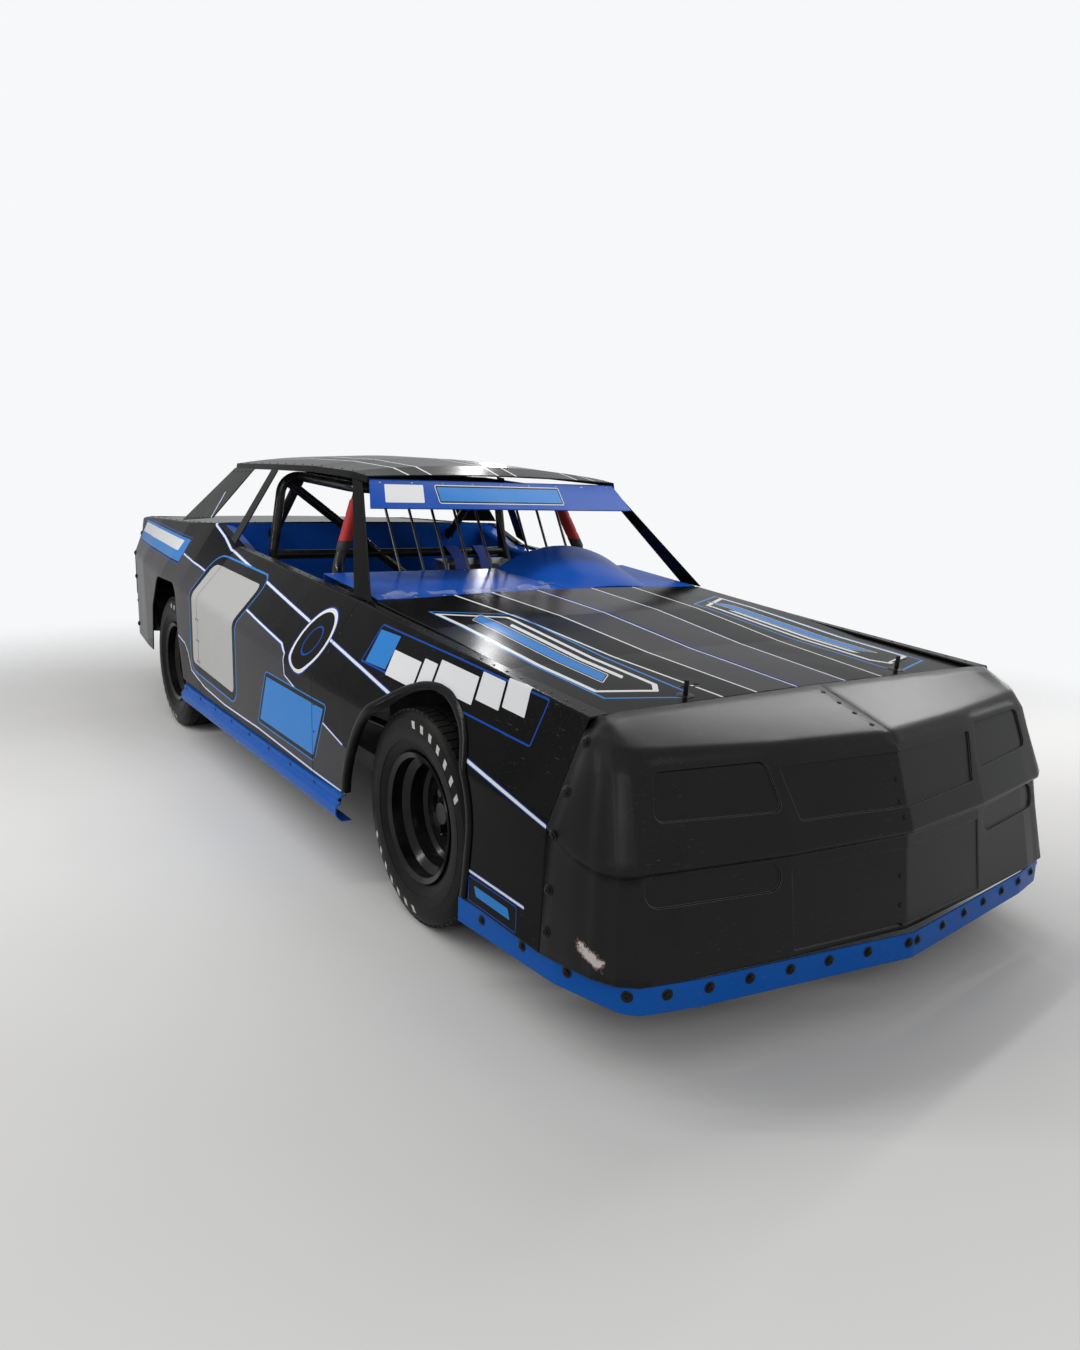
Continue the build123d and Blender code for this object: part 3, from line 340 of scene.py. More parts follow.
def tube_rings(points, radii, sides):
    """Rings of a round tube along points, with a radius for each."""
    rings = []
    side = None
    for index, (point, radius) in enumerate(zip(points, radii)):
        before = points[max(index - 1, 0)]
        after = points[min(index + 1, len(points) - 1)]
        run = (Vector(after) - Vector(before)).normalized()
        if side is None:
            side = run.orthogonal().normalized()
        side = (side - run * side.dot(run)).normalized()
        rings.append(circle(Vector(point), radius, side, run.cross(side), sides))
    return rings


def piece(name, mesh, material, body):
    """Turns a bmesh into a piece that rides on a body."""
    bmesh.ops.recalc_face_normals(mesh, faces=mesh.faces)
    data = bpy.data.meshes.new(name)
    mesh.to_mesh(data)
    mesh.free()
    for face in data.polygons:
        face.use_smooth = True
    made = bpy.data.objects.new(name, data)
    bpy.context.scene.collection.objects.link(made)
    data.materials.append(material)
    data.set_sharp_from_angle(angle=radians(35))
    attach(made, body)
    return made


def islands(name):
    """The low and the high corner of the box round each loose solid of a CAD node."""
    mesh = bmesh.new()
    mesh.from_mesh(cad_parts[name].data)
    bmesh.ops.remove_doubles(mesh, verts=mesh.verts, dist=1e-5)
    waiting = set(mesh.verts)
    boxes = []
    while waiting:
        stack = [waiting.pop()]
        found = []
        while stack:
            vert = stack.pop()
            found.append(vert.co.copy())
            for edge in vert.link_edges:
                other = edge.other_vert(vert)
                if other in waiting:
                    waiting.remove(other)
                    stack.append(other)
        boxes.append((Vector(map(min, zip(*found))), Vector(map(max, zip(*found)))))
    mesh.free()
    return sorted(boxes, key=lambda box: tuple(box[0]))


spring_paint = painted("spring_paint", (0.012, 0.05, 0.30), 0.3, dust=0.3)
shock_alloy = painted("shock_alloy", (0.6, 0.6, 0.6), 0.25, dust=0.3, metallic=1.0)
coils, shocks = bmesh.new(), bmesh.new()
for low, high in islands("springs"):
    middle = (low + high) / 2
    coil_radius = min(high.x - low.x, high.y - low.y) / 2 - SPRING_WIRE
    height = high.z - low.z - 2 * SPRING_WIRE
    line = [(middle.x + coil_radius * cos(2 * pi * SPRING_TURNS * step / SPRING_STEPS),
             middle.y + coil_radius * sin(2 * pi * SPRING_TURNS * step / SPRING_STEPS),
             low.z + SPRING_WIRE + height * step / SPRING_STEPS) for step in range(SPRING_STEPS + 1)]
    sweep_ring(coils, tube_rings(line, [SPRING_WIRE] * len(line), 8))
    rod = [(middle.x, middle.y, low.z + share * (high.z - low.z)) for share, _ in SHOCK]
    sweep_ring(shocks, tube_rings(rod, [radius for _, radius in SHOCK], 16))
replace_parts(piece("coil_springs", coils, spring_paint, "chassis"), "springs")
piece("shock_absorbers", shocks, shock_alloy, "chassis")

# Wide steel rims, pressed in two halves and welded to their hubs' plates, stove-enamelled gloss
# black

WHEELS = ("front_right", "front_left", "rear_right", "rear_left")
dress(["rim_" + wheel for wheel in WHEELS],
      painted("rim_enamel", (0.004, 0.004, 0.0045), 0.16, dust=0.06, shine=0.25))

# Cross-ply racing tyres: a moulded rubber ring with a soft round shoulder, four rows of square
# tread blocks cut by grooves, and raised bands round the sidewall. Plain white blocks are
# painted round the outer side

FRONT_AXLE_Y = -1.2955
WHEELBASE = 2.743
TYRE_RADIUS = 0.343
FLOOR_GAP = 0.0004
TREAD_DEPTH = 0.009
# A half section from the bead to the crown, as (out from the middle plane, radius)
CARCASS = (
    (0.098, 0.199), (0.104, 0.203), (0.110, 0.212), (0.1175, 0.226), (0.1235, 0.242), (0.1255, 0.2425),
    (0.1275, 0.256), (0.1285, 0.268), (0.1282, 0.280), (0.1272, 0.2805), (0.1255, 0.296),
    (0.1225, 0.310), (0.1215, 0.3105), (0.118, 0.320), (0.113, 0.3275), (0.106, 0.3318),
    (0.096, 0.3338), (0.060, 0.3342), (0.020, 0.3344),
)
CARCASS_SIDES = 96
TREAD_HALF = 0.108
# Rows of blocks, as (inner side, outer side, how far each row is shifted round)
TREAD_ROWS = ((-TREAD_HALF, -0.066, 0), (-0.058, -0.006, 0.5), (0.006, 0.058, 0),
              (0.066, TREAD_HALF, 0.5))
TREAD_BLOCKS = 68
BLOCK_ROUND = (0.05, 0.32, 0.6, 0.87)
BLOCK_ACROSS = (0, 0.5, 1)
CROWN_DROP = 0.0045
CROWN_CURVE = 2.6
RUBBER_DARK = (0.0030, 0.0030, 0.0031)
RUBBER_GREY = (0.0075, 0.0075, 0.0073)
# The white blocks: the radii that they lie between, how many would go round, the half share of
# a pitch that each fills, turns of pitch that they slant in a metre, and how dirty they stay white
MARK_WHITE = (0.55, 0.55, 0.53)
MARK_BAND = (0.284, 0.305)
MARKS_PER_TURN = 34
MARK_WIDTH = 0.17
MARK_SLANT = 9.0
MARK_WEAR = 0.64
# They stand in two arcs across from each other, as (angle of the middle, cosine of twice the
# angle from there to the end)
MARK_ARCS = (radians(120), 0.36)


def around(centre, out, radius, turn):
    return Vector((centre.x + out, centre.y + radius * cos(turn), centre.z + radius * sin(turn)))


def spot_at(tree, x, y):
    """A spot on a flat drawing."""
    return put(tree, "CombineXYZ", {"X": x, "Y": y}).outputs[0]


def crown(out):
    """How much the tread's surface drops towards the shoulder."""
    return CROWN_DROP * (abs(out) / TREAD_HALF) ** CROWN_CURVE


def tyre_mesh(centre):
    mesh = bmesh.new()
    profile = CARCASS + tuple((-out, radius) for out, radius in reversed(CARCASS))
    rows = [[mesh.verts.new(around(centre, out, radius, 2 * pi * step / CARCASS_SIDES))
             for step in range(CARCASS_SIDES)] for out, radius in profile]
    join_rows(mesh, rows + rows[:1], closed=True)
    last = len(BLOCK_ROUND) - 1
    rim = ([(0, step) for step in range(last + 1)] + [(1, last), (2, last)]
           + [(2, step) for step in reversed(range(last))] + [(1, 0)])
    for inner, outer, shift in TREAD_ROWS:
        spread = [inner + (outer - inner) * share for share in BLOCK_ACROSS]
        for block in range(TREAD_BLOCKS):
            start = 2 * pi * (block + shift) / TREAD_BLOCKS
            turns = [start + 2 * pi / TREAD_BLOCKS * share for share in BLOCK_ROUND]
            top = [[mesh.verts.new(around(centre, out, TYRE_RADIUS - FLOOR_GAP - crown(out), turn))
                    for turn in turns] for out in spread]
            join_rows(mesh, top)
            foot = [mesh.verts.new(around(centre, spread[row],
                                          TYRE_RADIUS - TREAD_DEPTH - 2 * crown(spread[row]),
                                          turns[step])) for row, step in rim]
            edge = [top[row][step] for row, step in rim]
            join_rows(mesh, [edge, foot], closed=True)
    return mesh


rubber, tree, shader = new_finish("tyre_rubber")
coords = put(tree, "TexCoord").outputs
dirt = cloud(tree, coords["Object"], 18, 7, 0.7)
place = xyz(tree, coords["Object"])
at_front = calc(tree, "LESS_THAN", place["Y"], 0.0)
axle = calc(tree, "MULTIPLY_ADD", at_front, -WHEELBASE, FRONT_AXLE_Y + WHEELBASE)
along = calc(tree, "SUBTRACT", place["Y"], axle)
rise = calc(tree, "SUBTRACT", place["Z"], TYRE_RADIUS)
reach = vector(tree, "LENGTH", spot_at(tree, along, rise))
turn = calc(tree, "ARCTAN2", rise, along)
arcs = calc(tree, "COSINE", calc(tree, "MULTIPLY_ADD", turn, 2.0, -2 * MARK_ARCS[0]))
count = calc(tree, "MULTIPLY", turn, MARKS_PER_TURN / (2 * pi))
share = calc(tree, "PINGPONG", calc(tree, "MULTIPLY_ADD", reach, MARK_SLANT, count), 0.5)
outward = calc(tree, "MULTIPLY", place["X"], xyz(tree, coords["Normal"])["X"])
mark = calc(tree, "GREATER_THAN", outward, 0.5)
for value, test, limit in ((arcs, "GREATER_THAN", MARK_ARCS[1]), (share, "LESS_THAN", MARK_WIDTH),
                           (reach, "GREATER_THAN", MARK_BAND[0]), (reach, "LESS_THAN", MARK_BAND[1]),
                           (dirt, "LESS_THAN", MARK_WEAR)):
    mark = calc(tree, "MULTIPLY", mark, calc(tree, test, value, limit))
grey = between(tree, dirt, RUBBER_DARK, RUBBER_GREY, 0.35, 0.72)
lay_on(tree, shader, over(tree, grey, MARK_WHITE, mark), 0.40, dust=0.03)
raise_grain(tree, shader, cloud(tree, coords["Object"], 420, 3), 0.0004, 0.7)
shader.inputs["Specular IOR Level"].default_value = 0.10
for wheel in WHEELS:
    low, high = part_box("tyre_" + wheel)
    made = piece("tread_" + wheel, tyre_mesh((low + high) / 2), rubber, "wheel_" + wheel)
    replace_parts(made, "tyre_" + wheel)

# The cage, bent from round steel tube, coped and welded, then brushed gloss black. The door
# bars and the windshield rods are welded to it

dress(["main_hoop", "roof_halo", "cage_bars", "door_bars"],
      painted("cage_enamel", (0.006, 0.006, 0.0065), 0.2, dust=0.12, shine=0.3))
dress(["windshield_bars"], painted("rod_steel", (0.10, 0.10, 0.10), 0.32, dust=0.2, metallic=1.0))

# The floor and the firewall, cut from bare sheet steel and riveted in, primed grey and scuffed
# by boots

dress(["floor_pan", "firewall"], painted("floor_primer", (0.05, 0.05, 0.052), 0.55, dust=0.7))

# The seat, an aluminium shell folded and riveted, and the steering wheel, a spoked plate with
# a foam grip

dress(["seat"], painted("seat_alloy", (0.42, 0.43, 0.44), 0.33, dust=0.15, metallic=1.0))
dress(["steering_wheel"], painted("grip_black", (0.015, 0.015, 0.015), 0.7, dust=0.15))

# The seat's cover: black quilted fabric over foam, with raised sides, tied into the shell from
# the front edge of the seat to the top of its back

SEAT_MIDDLE_X = 0.400
# The inside of the shell, as (station, height)
SEAT_LINE = ((1.515, 0.478), (1.548, 0.428), (1.600, 0.408), (1.700, 0.398), (1.800, 0.392),
             (1.872, 0.396), (1.905, 0.430), (1.925, 0.500), (1.948, 0.600), (1.972, 0.710),
             (1.996, 0.820), (2.014, 0.905))
COVER_HALF = 0.190
COVER_ROWS = 61
COVER_ACROSS = 25
COVER_END_ROWS = 3
COVER_LIFT = (0.003, 0.004)
COVER_EDGE = 0.008
COVER_FOAM = 0.016
BOLSTER = 0.016
BOLSTER_FROM = 0.55
QUILT_DEPTH = 0.0035
QUILTS_ALONG = 9
QUILTS_ACROSS = 4
COVER_BLACK = (0.016, 0.016, 0.018)


def at(x, station, z):
    """A place by its station, which is how far it is behind the front axle."""
    return Vector((x, FRONT_AXLE_Y + station, z))


def seat_profile(count):
    """Places along the seat, their normals, and how far along each is."""
    spots = [at(0, station, height) for station, height in SEAT_LINE]
    lengths = [0]
    for before, after in zip(spots, spots[1:]):
        lengths.append(lengths[-1] + (after - before).length)
    rows = []
    for step in range(count):
        reach = lengths[-1] * step / (count - 1)
        index = max(place for place in range(len(spots) - 1) if lengths[place] <= reach + 1e-9)
        share = (reach - lengths[index]) / (lengths[index + 1] - lengths[index])
        run = (spots[min(index + 2, len(spots) - 1)] - spots[max(index - 1, 0)]).normalized()
        rows.append((spots[index].lerp(spots[index + 1], share), Vector((0, -run.z, run.y)),
                     step / (count - 1)))
    return rows


def round_edge(rows):
    """The verts round the edge of a sheet of rows."""
    return (rows[0] + [row[-1] for row in rows[1:]] + rows[-1][-2::-1]
            + [row[0] for row in reversed(rows[1:-1])])


cover_cloth, tree, shader = new_finish("cover_cloth")
coords = put(tree, "TexCoord").outputs["Object"]
shade = mapped(tree, cloud(tree, coords, 12, 5), 0.3, 0.7, 0.7, 1.2)
lay_on(tree, shader, scaled(tree, COVER_BLACK, shade), 0.85, dust=0.25)
weave = put(tree, "TexWave", {"Vector": coords, "Scale": 260, "Distortion": 1.5},
            bands_direction="DIAGONAL")
raise_grain(tree, shader, weave.outputs["Fac"], 0.0004, 0.5)

cover = bmesh.new()
top_rows, low_rows = [], []
for spot, normal, share in seat_profile(COVER_ROWS):
    end_round = min(1.0, min(share, 1 - share) * COVER_ROWS / COVER_END_ROWS) ** 0.5
    top, low = [], []
    for step in range(COVER_ACROSS):
        across = 2 * step / (COVER_ACROSS - 1) - 1
        roll = (1 - abs(across) ** 6) ** 0.5
        bolster = BOLSTER * max(abs(across) - BOLSTER_FROM, 0) / (1 - BOLSTER_FROM)
        quilt = (QUILT_DEPTH * abs(sin(pi * share * QUILTS_ALONG))
                 * abs(sin(pi * (across + 1) * QUILTS_ACROSS / 2)) * (abs(across) < 0.9))
        rise = (COVER_EDGE + (COVER_FOAM + bolster + quilt) * roll) * end_round
        place = spot + Vector((SEAT_MIDDLE_X + COVER_HALF * across, 0, 0))
        top.append(place + normal * (COVER_LIFT[1] + rise))
        low.append(place + normal * COVER_LIFT[0])
    top_rows.append([cover.verts.new(point) for point in top])
    low_rows.append([cover.verts.new(point) for point in low])
join_rows(cover, top_rows)
join_rows(cover, low_rows, flip=-1)
join_rows(cover, [round_edge(top_rows), round_edge(low_rows)], closed=True)
piece("seat_cover", cover, cover_cloth, "chassis")

# Five belts of woven blue webbing, sewn over steel brackets: two come over the harness bar, two
# from the sides and one from the floor, and all meet in one steel buckle

BELT_BLUE = (0.010, 0.030, 0.24)
BELT_FADED = (0.022, 0.060, 0.36)
BELT_THICKNESS = 0.0022
# Each belt from its bar or bracket to the buckle, as (out from the seat's middle, station, z)
SHOULDER_BELT = ((0.085, 2.090, 0.955), (0.085, 2.078, 0.988), (0.084, 2.055, 0.992),
                 (0.082, 2.030, 0.975), (0.080, 1.990, 0.952), (0.078, 1.962, 0.925),
                 (0.074, 1.938, 0.860), (0.064, 1.902, 0.740), (0.050, 1.862, 0.640),
                 (0.034, 1.800, 0.565), (0.022, 1.750, 0.530))
SHOULDER_WIDTHS = [0.072] * 8 + [0.042] * 3
LAP_BELT = ((0.196, 1.905, 0.470), (0.188, 1.860, 0.488), (0.150, 1.800, 0.508),
            (0.090, 1.756, 0.518), (0.040, 1.740, 0.520))
FLOOR_BELT = ((0, 1.560, 0.462), (0, 1.600, 0.452), (0, 1.660, 0.462), (0, 1.712, 0.500))
BUCKLE_SPOT = at(SEAT_MIDDLE_X, 1.735, 0.520)
BUCKLE_FACING = Vector((0, -0.75, 0.66)).normalized()
BUCKLE_ACROSS = Vector((1, 0, 0))
BUCKLE_WIDER = 1.15
# From the back of the buckle to its knob, as (radius, how far forward)
BUCKLE = ((0.027, -0.006), (0.029, -0.002), (0.029, 0.007), (0.026, 0.011), (0.012, 0.012),
          (0.011, 0.010), (0.004, 0.010))

webbing, tree, shader = new_finish("belt_webbing")
coords = put(tree, "TexCoord").outputs["Object"]
fade = cloud(tree, coords, 10, 4)
lay_on(tree, shader, between(tree, fade, BELT_BLUE, BELT_FADED), mapped(tree, fade, 0, 1, 0.65, 0.85))
ribs = put(tree, "TexWave", {"Vector": coords, "Scale": 180}, bands_direction="Z")
raise_grain(tree, shader, ribs.outputs["Fac"], 0.0003, 0.5)


def strap(mesh, sign, points, across):
    """A flat strap along points of the seat, with its width along across."""
    points = [at(SEAT_MIDDLE_X + sign * x, station, z) for x, station, z in points]
    rings = []
    for index, (point, side) in enumerate(zip(points, across)):
        run = (points[min(index + 1, len(points) - 1)] - points[max(index - 1, 0)]).normalized()
        thick = run.cross(Vector(side).normalized()).normalized() * BELT_THICKNESS / 2
        reach = Vector(side) / 2
        rings.append([point - reach - thick, point + reach - thick,
                      point + reach + thick, point - reach + thick])
    sweep_ring(mesh, rings)


belts = bmesh.new()
for sign in (-1, 1):
    strap(belts, sign, SHOULDER_BELT, [(width, 0, 0) for width in SHOULDER_WIDTHS])
    strap(belts, sign, LAP_BELT, [(0, 0.012, 0.050)] * len(LAP_BELT))
strap(belts, 1, FLOOR_BELT, [(0.045, 0, 0)] * len(FLOOR_BELT))
piece("harness_belts", belts, webbing, "chassis")

buckle = bmesh.new()
sweep_ring(buckle, [circle(BUCKLE_SPOT + BUCKLE_FACING * lift, radius, BUCKLE_ACROSS * BUCKLE_WIDER,
                           BUCKLE_ACROSS.cross(BUCKLE_FACING), 28) for radius, lift in BUCKLE])
piece("harness_buckle", buckle, painted("buckle_steel", (0.35, 0.35, 0.35), 0.28, metallic=1.0),
      "chassis")

# The deck round the cockpit: bright blue aluminium sheet, bent cold and pop-riveted, covered
# with vinyl that takes fine rubbing marks

COCKPIT_BLUE = (0.006, 0.078, 0.42)
RUBBED_GREY = (0.22, 0.22, 0.23)
FOLD_RADIUS = 0.004
SHEET_WAVE = 0.0132


def rubbed_group():
    """Fine straight rubbing marks in two directions, in patches: a mask."""
    group, given, made = new_group("rubbed", {"Vector": ("Vector", (0, 0, 0)), "Scale": ("Float", 1)},
                                   {"Mask": "Float"})
    ways = []
    for stretch, turn in (((1, 9, 9), 0.5), ((9, 1, 9), -0.35)):
        spun = put(group, "Mapping", {"Vector": given.outputs["Vector"], "Rotation": (0.2, turn, turn),
                                      "Scale": stretch}).outputs[0]
        ways.append(mapped(group, cloud(group, spun, 26, 3), 0.66, 0.74))
    patch = mapped(group, cloud(group, given.outputs["Vector"], 3), 0.45, 0.65)
    mask = calc(group, "MULTIPLY", calc(group, "MAXIMUM", *ways), patch)
    mask = calc(group, "MULTIPLY", mask, given.outputs["Scale"], use_clamp=True)
    group.links.new(mask, made.inputs["Mask"])
    return group


rubbed = rubbed_group()


def wrapped(name, paint_colour, roughness, marks=0.25, dust=0.012):
    """A glossy sheet. paint_colour(tree, object_coords) returns the socket of its colours."""
    material, tree, shader = new_finish(name)
    coords = put(tree, "TexCoord").outputs["Object"]
    mark = use_group(tree, rubbed, {"Vector": coords, "Scale": marks})["Mask"]
    worn = mapped(tree, mark, 0, 1, roughness, roughness + 0.3)
    lay_on(tree, shader, over(tree, paint_colour(tree, coords), RUBBED_GREY, mark), worn, dust)
    # folded edges are round and catch the light
    folded = put(tree, "Bevel", {"Radius": FOLD_RADIUS}, samples=4).outputs[0]
    raise_grain(tree, shader, cloud(tree, coords, 3.2, 1.5), SHEET_WAVE, 0.35, edges=folded)
    shader.inputs["Specular IOR Level"].default_value = 0.06
    return material


def printed(tree, coords, colour, uneven=0.1):
    """A colour that varies a little over the sheet, as printed vinyl does."""
    tone = mapped(tree, cloud(tree, coords, 5, 3), 0, 1, 1 - uneven, 1 + uneven)
    return scaled(tree, colour, tone)


def one_colour(colour):
    return lambda tree, coords: printed(tree, coords, colour)


dress(["cowl_deck", "cowl_hump", "side_ledges", "rear_bulkhead"],
      wrapped("cockpit_blue", one_colour(COCKPIT_BLUE), 0.22))

# The outer skin, folded from steel and aluminium sheet and covered with printed vinyl: gloss
# black, a grey band along each side, white pinstripes, and blank boards with a blue edge.
# The same sheets are cut for both sides

WRAP_BLACK = (0.0030, 0.0030, 0.0032)
WRAP_GREY = (0.046, 0.045, 0.049)
WRAP_WHITE = (0.78, 0.79, 0.80)
PLATE_GREY = (0.46, 0.46, 0.45)
LIGHT_BLUE = (0.030, 0.22, 0.62)
EDGE_BLUE = (0.008, 0.068, 0.40)
INSIDE_PAINT = (0.022, 0.022, 0.023)

# Lines of the side print, as (station, height)
GREY_TOP = ((0.30, 0.44), (0.45, 0.47), (0.621, 0.513), (0.962, 0.614), (0.976, 0.693), (1.042, 0.720),
            (1.449, 0.775), (2.047, 0.849), (2.292, 0.886), (2.630, 0.928), (3.70, 0.945))
GREY_FOOT = ((0.30, 0.29), (0.433, 0.30), (1.289, 0.334), (1.716, 0.334), (2.018, 0.352), (2.239, 0.394),
             (2.284, 0.468), (2.337, 0.509), (2.459, 0.531), (3.70, 0.30))
GREY_FROM = 0.2
BELT_LINE = ((-0.74, 0.553), (-0.564, 0.583), (-0.347, 0.618), (0.430, 0.737), (1.020, 0.824),
             (1.479, 0.889), (2.003, 0.962), (2.125, 0.979), (2.254, 1.032), (2.389, 1.078),
             (2.430, 1.110), (2.498, 1.195), (2.530, 1.232))
FOOT_LINE = ((-0.650, 0.315), (-0.372, 0.318))
# The white pinstripes, as (line, half width), with a blue edge
PINSTRIPES = ((GREY_TOP[1:10], 0.0030), (GREY_FOOT[1:9], 0.0032), (BELT_LINE, 0.0040),
              (FOOT_LINE, 0.0035))
PINSTRIPE_EDGE = 0.0025
# Each board as (middle, half size, lean of its ends, slope of its edges, corner radius), and the
# colours from its edge inwards, as (how far out the colour reaches, colour)
FOOT_BOARD = ((-0.500, 0.268), (0.118, 0.034), 0.0, 0.0, 0.004)
FOOT_BAR = ((-0.500, 0.270), (0.085, 0.014), -0.4, 0.0, 0.004)
DOOR_PLATE = ((1.875, 0.662), (0.335, 0.262), 0.055, -0.05, 0.06)
DOOR_BOARD = ((0.925, 0.470), (0.290, 0.108), 0.48, -0.02, 0.012)
FENDER_BOARD = ((-0.055, 0.790), (0.500, 0.056), 0.0, -0.048, 0.004)
FENDER_BLOCK = ((0.360, 0.806), (0.070, 0.050), -0.2, -0.02, 0.004)
QUARTER_BOARD = ((3.080, 0.958), (0.490, 0.062), 0.0, -0.045, 0.006)
QUARTER_BAR = ((3.120, 0.975), (0.440, 0.026), 0.3, -0.045, 0.004)
# White bars that follow the fender board's slope, as (station of the middle, half length)
FENDER_BARS = [((middle, 0.788 - 0.048 * (middle + 0.100)), (half, 0.036), -0.35, -0.048, 0.003)
               for middle, half in ((-0.420, 0.055), (-0.295, 0.060), (-0.115, 0.110),
                                    (0.045, 0.040), (0.185, 0.090))]
SIDE_BOARDS = (
    (FOOT_BOARD, ((0.003, EDGE_BLUE), (0.0, WRAP_BLACK))),
    (FOOT_BAR, ((0.0, LIGHT_BLUE),)),
    (DOOR_PLATE, ((0.016, LIGHT_BLUE), (0.009, WRAP_BLACK), (-0.028, PLATE_GREY))),
    (DOOR_BOARD, ((0.010, LIGHT_BLUE), (0.005, WRAP_BLACK), (-0.012, LIGHT_BLUE))),
    (FENDER_BOARD, ((0.005, EDGE_BLUE), (0.0, WRAP_BLACK))),
    *((bar, ((0.0, WRAP_WHITE),)) for bar in FENDER_BARS),
    (FENDER_BLOCK, ((0.0, LIGHT_BLUE),)),
    (QUARTER_BOARD, ((0.004, EDGE_BLUE), (0.0, WRAP_BLACK), (-0.008, LIGHT_BLUE))),
    (QUARTER_BAR, ((0.0, WRAP_WHITE),)),
)
RING_MIDDLE = (0.840, 0.760)
RING = ((0.120, EDGE_BLUE), (0.115, WRAP_WHITE), (0.101, WRAP_BLACK), (0.052, EDGE_BLUE),
        (0.046, WRAP_BLACK))


def segment_group():
    """How far a spot is from a straight segment."""
    group, given, made = new_group("segment", {
        "Spot": ("Vector", (0, 0, 0)), "Start": ("Vector", (0, 0, 0)), "End": ("Vector", (0, 0, 0)),
    }, {"Distance": "Float"})
    given = given.outputs
    run = vector(group, "SUBTRACT", given["End"], given["Start"])
    reach = vector(group, "SUBTRACT", given["Spot"], given["Start"])
    share = calc(group, "DIVIDE", vector(group, "DOT_PRODUCT", reach, run),
                 vector(group, "DOT_PRODUCT", run, run), use_clamp=True)
    away = vector(group, "DISTANCE", reach, scaled(group, run, share))
    group.links.new(away, made.inputs["Distance"])
    return group


def board_group():
    """How far outside a four-sided board a spot is, negative inside.

    Lean slants its ends, Slope slants its long edges, and Radius rounds its corners.
    """
    group, given, made = new_group("board", {
        "Spot": ("Vector", (0, 0, 0)), "Middle": ("Vector", (0, 0, 0)), "Half": ("Vector", (1, 1, 0)),
        "Lean": ("Float", 0), "Slope": ("Float", 0), "Radius": ("Float", 0.01),
    }, {"Distance": "Float"})
    given = given.outputs
    part = xyz(group, vector(group, "SUBTRACT", given["Spot"], given["Middle"]))
    upright = spot_at(group, calc(group, "MULTIPLY_ADD", part["Y"], given["Lean"], part["X"]),
                      calc(group, "MULTIPLY_ADD", part["X"], given["Slope"], part["Y"]))
    past = vector(group, "SUBTRACT", vector(group, "ABSOLUTE", upright), given["Half"])
    past = vector(group, "ADD", past, spot_at(group, given["Radius"], given["Radius"]))
    outside = vector(group, "LENGTH", vector(group, "MAXIMUM", past, (0, 0, 0)))
    sides = xyz(group, past)
    inside = calc(group, "MINIMUM", calc(group, "MAXIMUM", sides["X"], sides["Y"]), 0.0)
    far = calc(group, "SUBTRACT", calc(group, "ADD", outside, inside), given["Radius"])
    group.links.new(far, made.inputs["Distance"])
    return group


segment = segment_group()
board = board_group()


def line_distance(tree, spot, points, closed=False):
    """How far a spot is from a line of straight runs."""
    nearest = None
    for start, end in zip(points, points[1:] + (points[:1] if closed else ())):
        run = use_group(tree, segment, {"Spot": spot, "Start": (*start, 0), "End": (*end, 0)})[0]
        nearest = run if nearest is None else calc(tree, "MINIMUM", nearest, run)
    return nearest


def keyline(tree, under, distance, bands):
    """Bands of colour from the outside inwards, each as (how far out it reaches, colour)."""
    for reach, colour in bands:
        under = over(tree, under, colour, calc(tree, "LESS_THAN", distance, reach))
    return under


def boards_on(tree, under, spot, boards):
    """Lays boards over what is under them."""
    for (middle, half, lean, slope, radius), bands in boards:
        distance = use_group(tree, board, {"Spot": spot, "Middle": (*middle, 0), "Half": (*half, 1),
                                           "Lean": lean, "Slope": slope, "Radius": radius})[0]
        under = keyline(tree, under, distance, bands)
    return under


def height_along(tree, along, points):
    """The height of a line of straight runs at a place along the car."""
    first, last = points[0][0], points[-1][0]
    ramp = put(tree, "ValToRGB", {"Fac": mapped(tree, along, first, last)})
    stops = ramp.color_ramp.elements
    while len(stops) < len(points):
        stops.new(0.5)
    for stop, (place, _) in zip(stops, points):
        stop.position = (place - first) / (last - first)
    for stop, (_, height) in zip(stops, points):
        stop.color = (height, height, height, 1)
    return ramp.outputs["Color"]


def outside_only(tree, coords, colour, sideways=True):
    """Keeps a print to the outer face of a sheet: the rest is painted a plain dark grey."""
    facing = xyz(tree, put(tree, "TexCoord").outputs["Normal"])
    outward = calc(tree, "MULTIPLY", xyz(tree, coords)["X"], facing["X"]) if sideways else facing["Z"]
    return over(tree, colour, INSIDE_PAINT, calc(tree, "LESS_THAN", outward, 0.05))


def side_print(tree, coords):
    """The colours of the side, by station and height."""
    part = xyz(tree, coords)
    station = calc(tree, "SUBTRACT", part["Y"], FRONT_AXLE_Y)
    spot = spot_at(tree, station, part["Z"])
    under_top = calc(tree, "LESS_THAN", part["Z"], height_along(tree, station, GREY_TOP))
    over_foot = calc(tree, "GREATER_THAN", part["Z"], height_along(tree, station, GREY_FOOT))
    band = calc(tree, "MULTIPLY", calc(tree, "MULTIPLY", under_top, over_foot),
                calc(tree, "GREATER_THAN", station, GREY_FROM))
    colour = over(tree, printed(tree, coords, WRAP_BLACK, 0.15), WRAP_GREY, band)
    for line, half in PINSTRIPES:
        colour = keyline(tree, colour, line_distance(tree, spot, line),
                         ((half + PINSTRIPE_EDGE, EDGE_BLUE), (half, WRAP_WHITE)))
    colour = boards_on(tree, colour, spot, SIDE_BOARDS)
    colour = keyline(tree, colour, vector(tree, "DISTANCE", spot, (*RING_MIDDLE, 0)), RING)
    return outside_only(tree, coords, colour)


